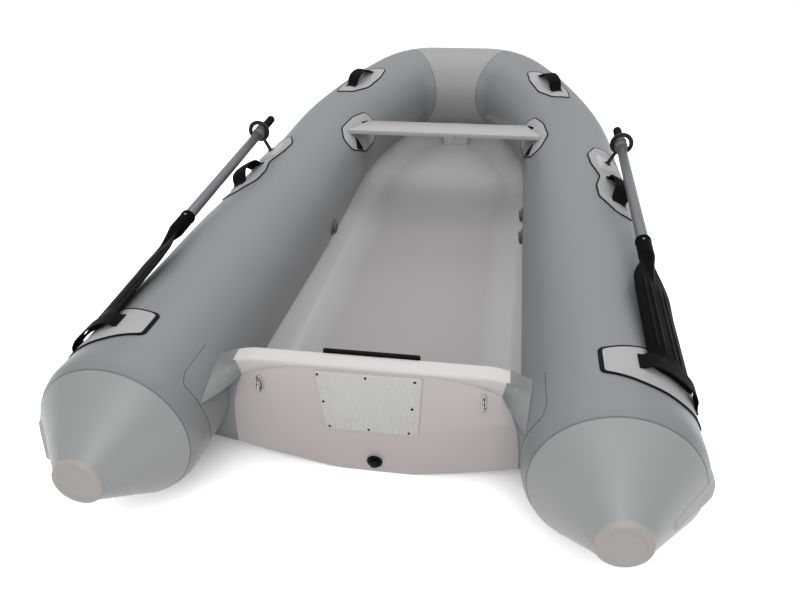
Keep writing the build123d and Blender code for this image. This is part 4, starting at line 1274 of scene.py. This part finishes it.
raised = patch(base_at, rounded(BASE_OUTLINE, 0.004), BASE_T, PATCH_T, bevel=0.003)
inset = [(0.86 * x, 0.76 * y, 0.008) for x, y, _ in BASE_OUTLINE]
ridge = patch(base_at, rounded(inset, 0.004), RIDGE_T, PATCH_T + BASE_T - 0.0004, bevel=0.0008)
pin_foot = below + pin_dir * (girth(abreast) + PATCH_T + BASE_T - 0.001)
pin_length = (ring_centre - pin_foot).length - RING_R
pin = turned(pin_foot, pin_dir, PIN_PROFILE + [(0.0070, pin_length - 0.006), (0.0066, pin_length)], 24)
swivel = joined(pipe(ring_path, RING_ROD), pin)
piece_of("rowlock_blocks", both_sides(joined(raised, ridge)), "cap_white", base_pale, "rowlock_bases")
piece_of("rowlock_rings", both_sides(swivel), "collar_grey", rowlock_grey, "rowlocks")

# ---------------------------------------------------------------------------------------------
# Hull and deck.  Two mouldings bonded together: the bottom, and the deck liner with its floor,
# leaning sides and climbing bow, which ends at a low step.  Both are gelcoated, the floor grained.
DECK_FROM, DECK_TO = 0.458, 3.105
FLOOR_Z = 0.100
CLIMB_FROM, CLIMB = 1.900, 0.093  # where the floor starts to curve up, and how fast
SIDE_AT, SIDE_SPREAD = 0.372, 0.0131
SIDE_SLOPE = math.tan(math.radians(28))
LINER_T = 0.014
LEVEL_TO = 0.560                  # its section stays the same aft of here
WIDEST = 0.460
UNDER_COLLAR = 0.004              # how far it runs in under the collar's skin
DECK_ROWS, DECK_COLUMNS, DECK_T = 170, 97, 0.003
SOFTENING, SINK = 4, 0.0015       # passes that soften its corners, and how far each may lower it
PAINTED_LIGHT_SIDE = (0.26, 0.42)         # painted light: paler from here outwards, up the leaning sides
PAINTED_LIGHT_BOW = (0.35, 1.15)          # painted light: and paler from here forward, in the boat's own frame
STEP_OUTLINE = [(0.078, 3.026, 0.02), (0.078, 3.120, 0.01)]
STEP_FOOT, STEP_TOP = 0.200, 0.281
hull_white = finish("hull_gelcoat", (205, 202, 200), 0.25, cloud=0.02, grain=50, depth=0.0001, coat=0.3)
deck_grey = finish("deck_gelcoat", (168, 164, 163), 0.45, cloud=0.03, cloud_size=2.2, grain=420,
                   depth=0.00014)
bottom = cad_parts["hull_bottom"]
bottom.data.materials.clear()
bottom.data.materials.append(hull_white)


def deck_height(x, y):
    """Top of the deck liner: floor, leaning side, and what the bottom under it needs."""
    floor = FLOOR_Z + CLIMB * max(0.0, y - CLIMB_FROM) ** 2
    side = FLOOR_Z + (abs(x) - SIDE_AT - SIDE_SPREAD * y) / SIDE_SLOPE
    met, place, _, _ = bottom.ray_cast(Vector((x, STERN + y, 1.0)), Vector((0, 0, -1)))
    return max(floor, side, place.z + LINER_T if met else 0.0)


def deck_reach(y):
    """How far out the deck runs before it goes under the collar."""
    axis = min((station(k / 100) for k in range(30, 330)), key=lambda s: abs(s[0].y - STERN - y))[0]
    x = 0.02
    while x < WIDEST and math.hypot(axis.x - x, axis.z - deck_height(x, y)) >= TUBE_R - UNDER_COLLAR:
        x += 0.004
    return x


deck_rows = []
for y in np.linspace(DECK_FROM, DECK_TO, DECK_ROWS):
    like = max(y, LEVEL_TO)
    reach = deck_reach(like)
    deck_rows.append([(reach * t, y, deck_height(reach * t, like)) for t in np.linspace(-1, 1, DECK_COLUMNS)])
deck = np.array(deck_rows)
for _ in range(SOFTENING):
    heights = deck[:, :, 2].copy()
    heights[1:-1, :] = (heights[:-2, :] + 2 * heights[1:-1, :] + heights[2:, :]) / 4
    heights[:, 1:-1] = (heights[:, :-2] + 2 * heights[:, 1:-1] + heights[:, 2:]) / 4
    deck[:, :, 2] = np.maximum(heights, deck[:, :, 2] - SINK)
# Painted light: the liner's colour is mixed paler towards its leaning sides and its bow, to lift the shade
# that falls there under the collar.
paint = deck_grey.node_tree
coat_colour = paint.nodes["Principled BSDF"].inputs["Base Color"]
apart = add(paint, "ShaderNodeSeparateXYZ", [add(paint, "ShaderNodeTexCoord", output="Object")], None).outputs
outwards = calculate(paint, "ABSOLUTE", apart["X"])
on_side = {"Value": outwards, "From Min": PAINTED_LIGHT_SIDE[0], "From Max": PAINTED_LIGHT_SIDE[1]}
on_bow = {"Value": apart["Y"], "From Min": PAINTED_LIGHT_BOW[0], "From Max": PAINTED_LIGHT_BOW[1], "To Max": 0.6}
painted_light = calculate(paint, "MAXIMUM", *[add(paint, "ShaderNodeMapRange", edge) for edge in (on_side, on_bow)])
plain_coat = coat_colour.links[0].from_socket
paint.links.new(mixed(paint, painted_light, plain_coat, colour(206, 204, 207)), coat_colour)
deck_skin = sheet([[Vector((x, STERN + y, z)) for x, y, z in row] for row in deck.tolist()], DECK_T)
piece_of("deck_skin", deck_skin, "deck_gelcoat", deck_grey, "deck_liner")
step = slab(rounded(mirrored_outline(STEP_OUTLINE), 0.006), STEP_FOOT, STEP_TOP, 0.010,
            lambda x, y, h: Vector((x, STERN + y, h)))
piece_of("bow_step", step, "deck_gelcoat", deck_grey, sharp=60)

# ---------------------------------------------------------------------------------------------
# Studio.  Pale floor, soft light from overhead and from aft, and the camera.
CAMERA_PLACE = (0.322, STERN - 1.048, 1.424)
CAMERA_YAW = -0.1624
CAMERA_PITCH = -0.5081
CAMERA_ROLL = -0.0102
FOCUS_PIXELS = 687.7
PICTURE_WIDTH = 800
camera_data = bpy.data.cameras.new("camera")
camera_data.sensor_width = 36.0
camera_data.lens = FOCUS_PIXELS / PICTURE_WIDTH * camera_data.sensor_width
camera_data.clip_end = 60
camera = bpy.data.objects.new("camera", camera_data)
bpy.context.scene.collection.objects.link(camera)
look = Vector((math.sin(CAMERA_YAW) * math.cos(CAMERA_PITCH), math.cos(CAMERA_YAW) * math.cos(CAMERA_PITCH),
               math.sin(CAMERA_PITCH)))
level = Vector((math.cos(CAMERA_YAW), -math.sin(CAMERA_YAW), 0))
above = level.cross(look)
right = level * math.cos(CAMERA_ROLL) + above * math.sin(CAMERA_ROLL)
top = above * math.cos(CAMERA_ROLL) - level * math.sin(CAMERA_ROLL)
turn = Matrix((right, top, -look)).transposed().to_4x4()
camera.matrix_world = Matrix.Translation(CAMERA_PLACE) @ turn
bpy.context.scene.camera = camera

FLOOR_REACH = 40.0
FLOOR_BOUNCE = 0.5                # how light the floor is for the light it throws back
FLOOR_SEEN = 2.2                  # how light it looks
corners = [(x * FLOOR_REACH, y * FLOOR_REACH, 0) for x, y in ((-1, -1), (1, -1), (1, 1), (-1, 1))]
floor_mesh = bpy.data.meshes.new("studio_floor")
floor_mesh.from_pydata(corners, [], [(0, 1, 2, 3)])
studio_floor = bpy.data.objects.new("studio_floor", floor_mesh)
bpy.context.scene.collection.objects.link(studio_floor)


def seen(tree):
    """1 where the eye, a mirror or a pane of glass sees the surface, 0 where only light does."""
    path = tree.nodes.new("ShaderNodeLightPath").outputs
    mirrored = calculate(tree, "MAXIMUM", path["Is Camera Ray"], path["Is Glossy Ray"])
    return calculate(tree, "MAXIMUM", mirrored, path["Is Transmission Ray"])


floor_paint = bpy.data.materials.new("studio_floor")
floor_paint.use_nodes = True
tree = floor_paint.node_tree
tree.nodes.clear()
shown = mixed(tree, seen(tree), (FLOOR_BOUNCE,) * 3 + (1,), (FLOOR_SEEN,) * 3 + (1,))
add(tree, "ShaderNodeOutputMaterial", {"Surface": add(tree, "ShaderNodeBsdfDiffuse", {"Color": shown})}, None)
floor_mesh.materials.append(floor_paint)

SKY_LIGHT = 0.64
world = bpy.data.worlds.new("studio")
world.use_nodes = True
tree = world.node_tree
tree.nodes.clear()
sky = add(tree, "ShaderNodeBackground", {"Strength": mixed(tree, seen(tree), SKY_LIGHT, 1.0, "FLOAT")})
add(tree, "ShaderNodeOutputWorld", {"Surface": sky}, None)
bpy.context.scene.world = world
LAMPS = [
    # name, place, aimed at, size, watts
    ("overhead", (0.1, 0.9, 3.6), (0, 0.6, 0), 4.2, 60),
    ("from_aft", (0.3, -4.4, 2.8), (0, -1.0, 0.2), 2.4, 62),
]
for name, place, aim, size, watts in LAMPS:
    lamp = bpy.data.lights.new(name, "AREA")
    lamp.size = size
    lamp.energy = watts
    holder = bpy.data.objects.new(name, lamp)
    facing = (Vector(place) - Vector(aim)).to_track_quat("Z", "Y").to_matrix().to_4x4()
    holder.matrix_world = Matrix.Translation(place) @ facing
    bpy.context.scene.collection.objects.link(holder)
bpy.context.scene.view_settings.view_transform = "Standard"
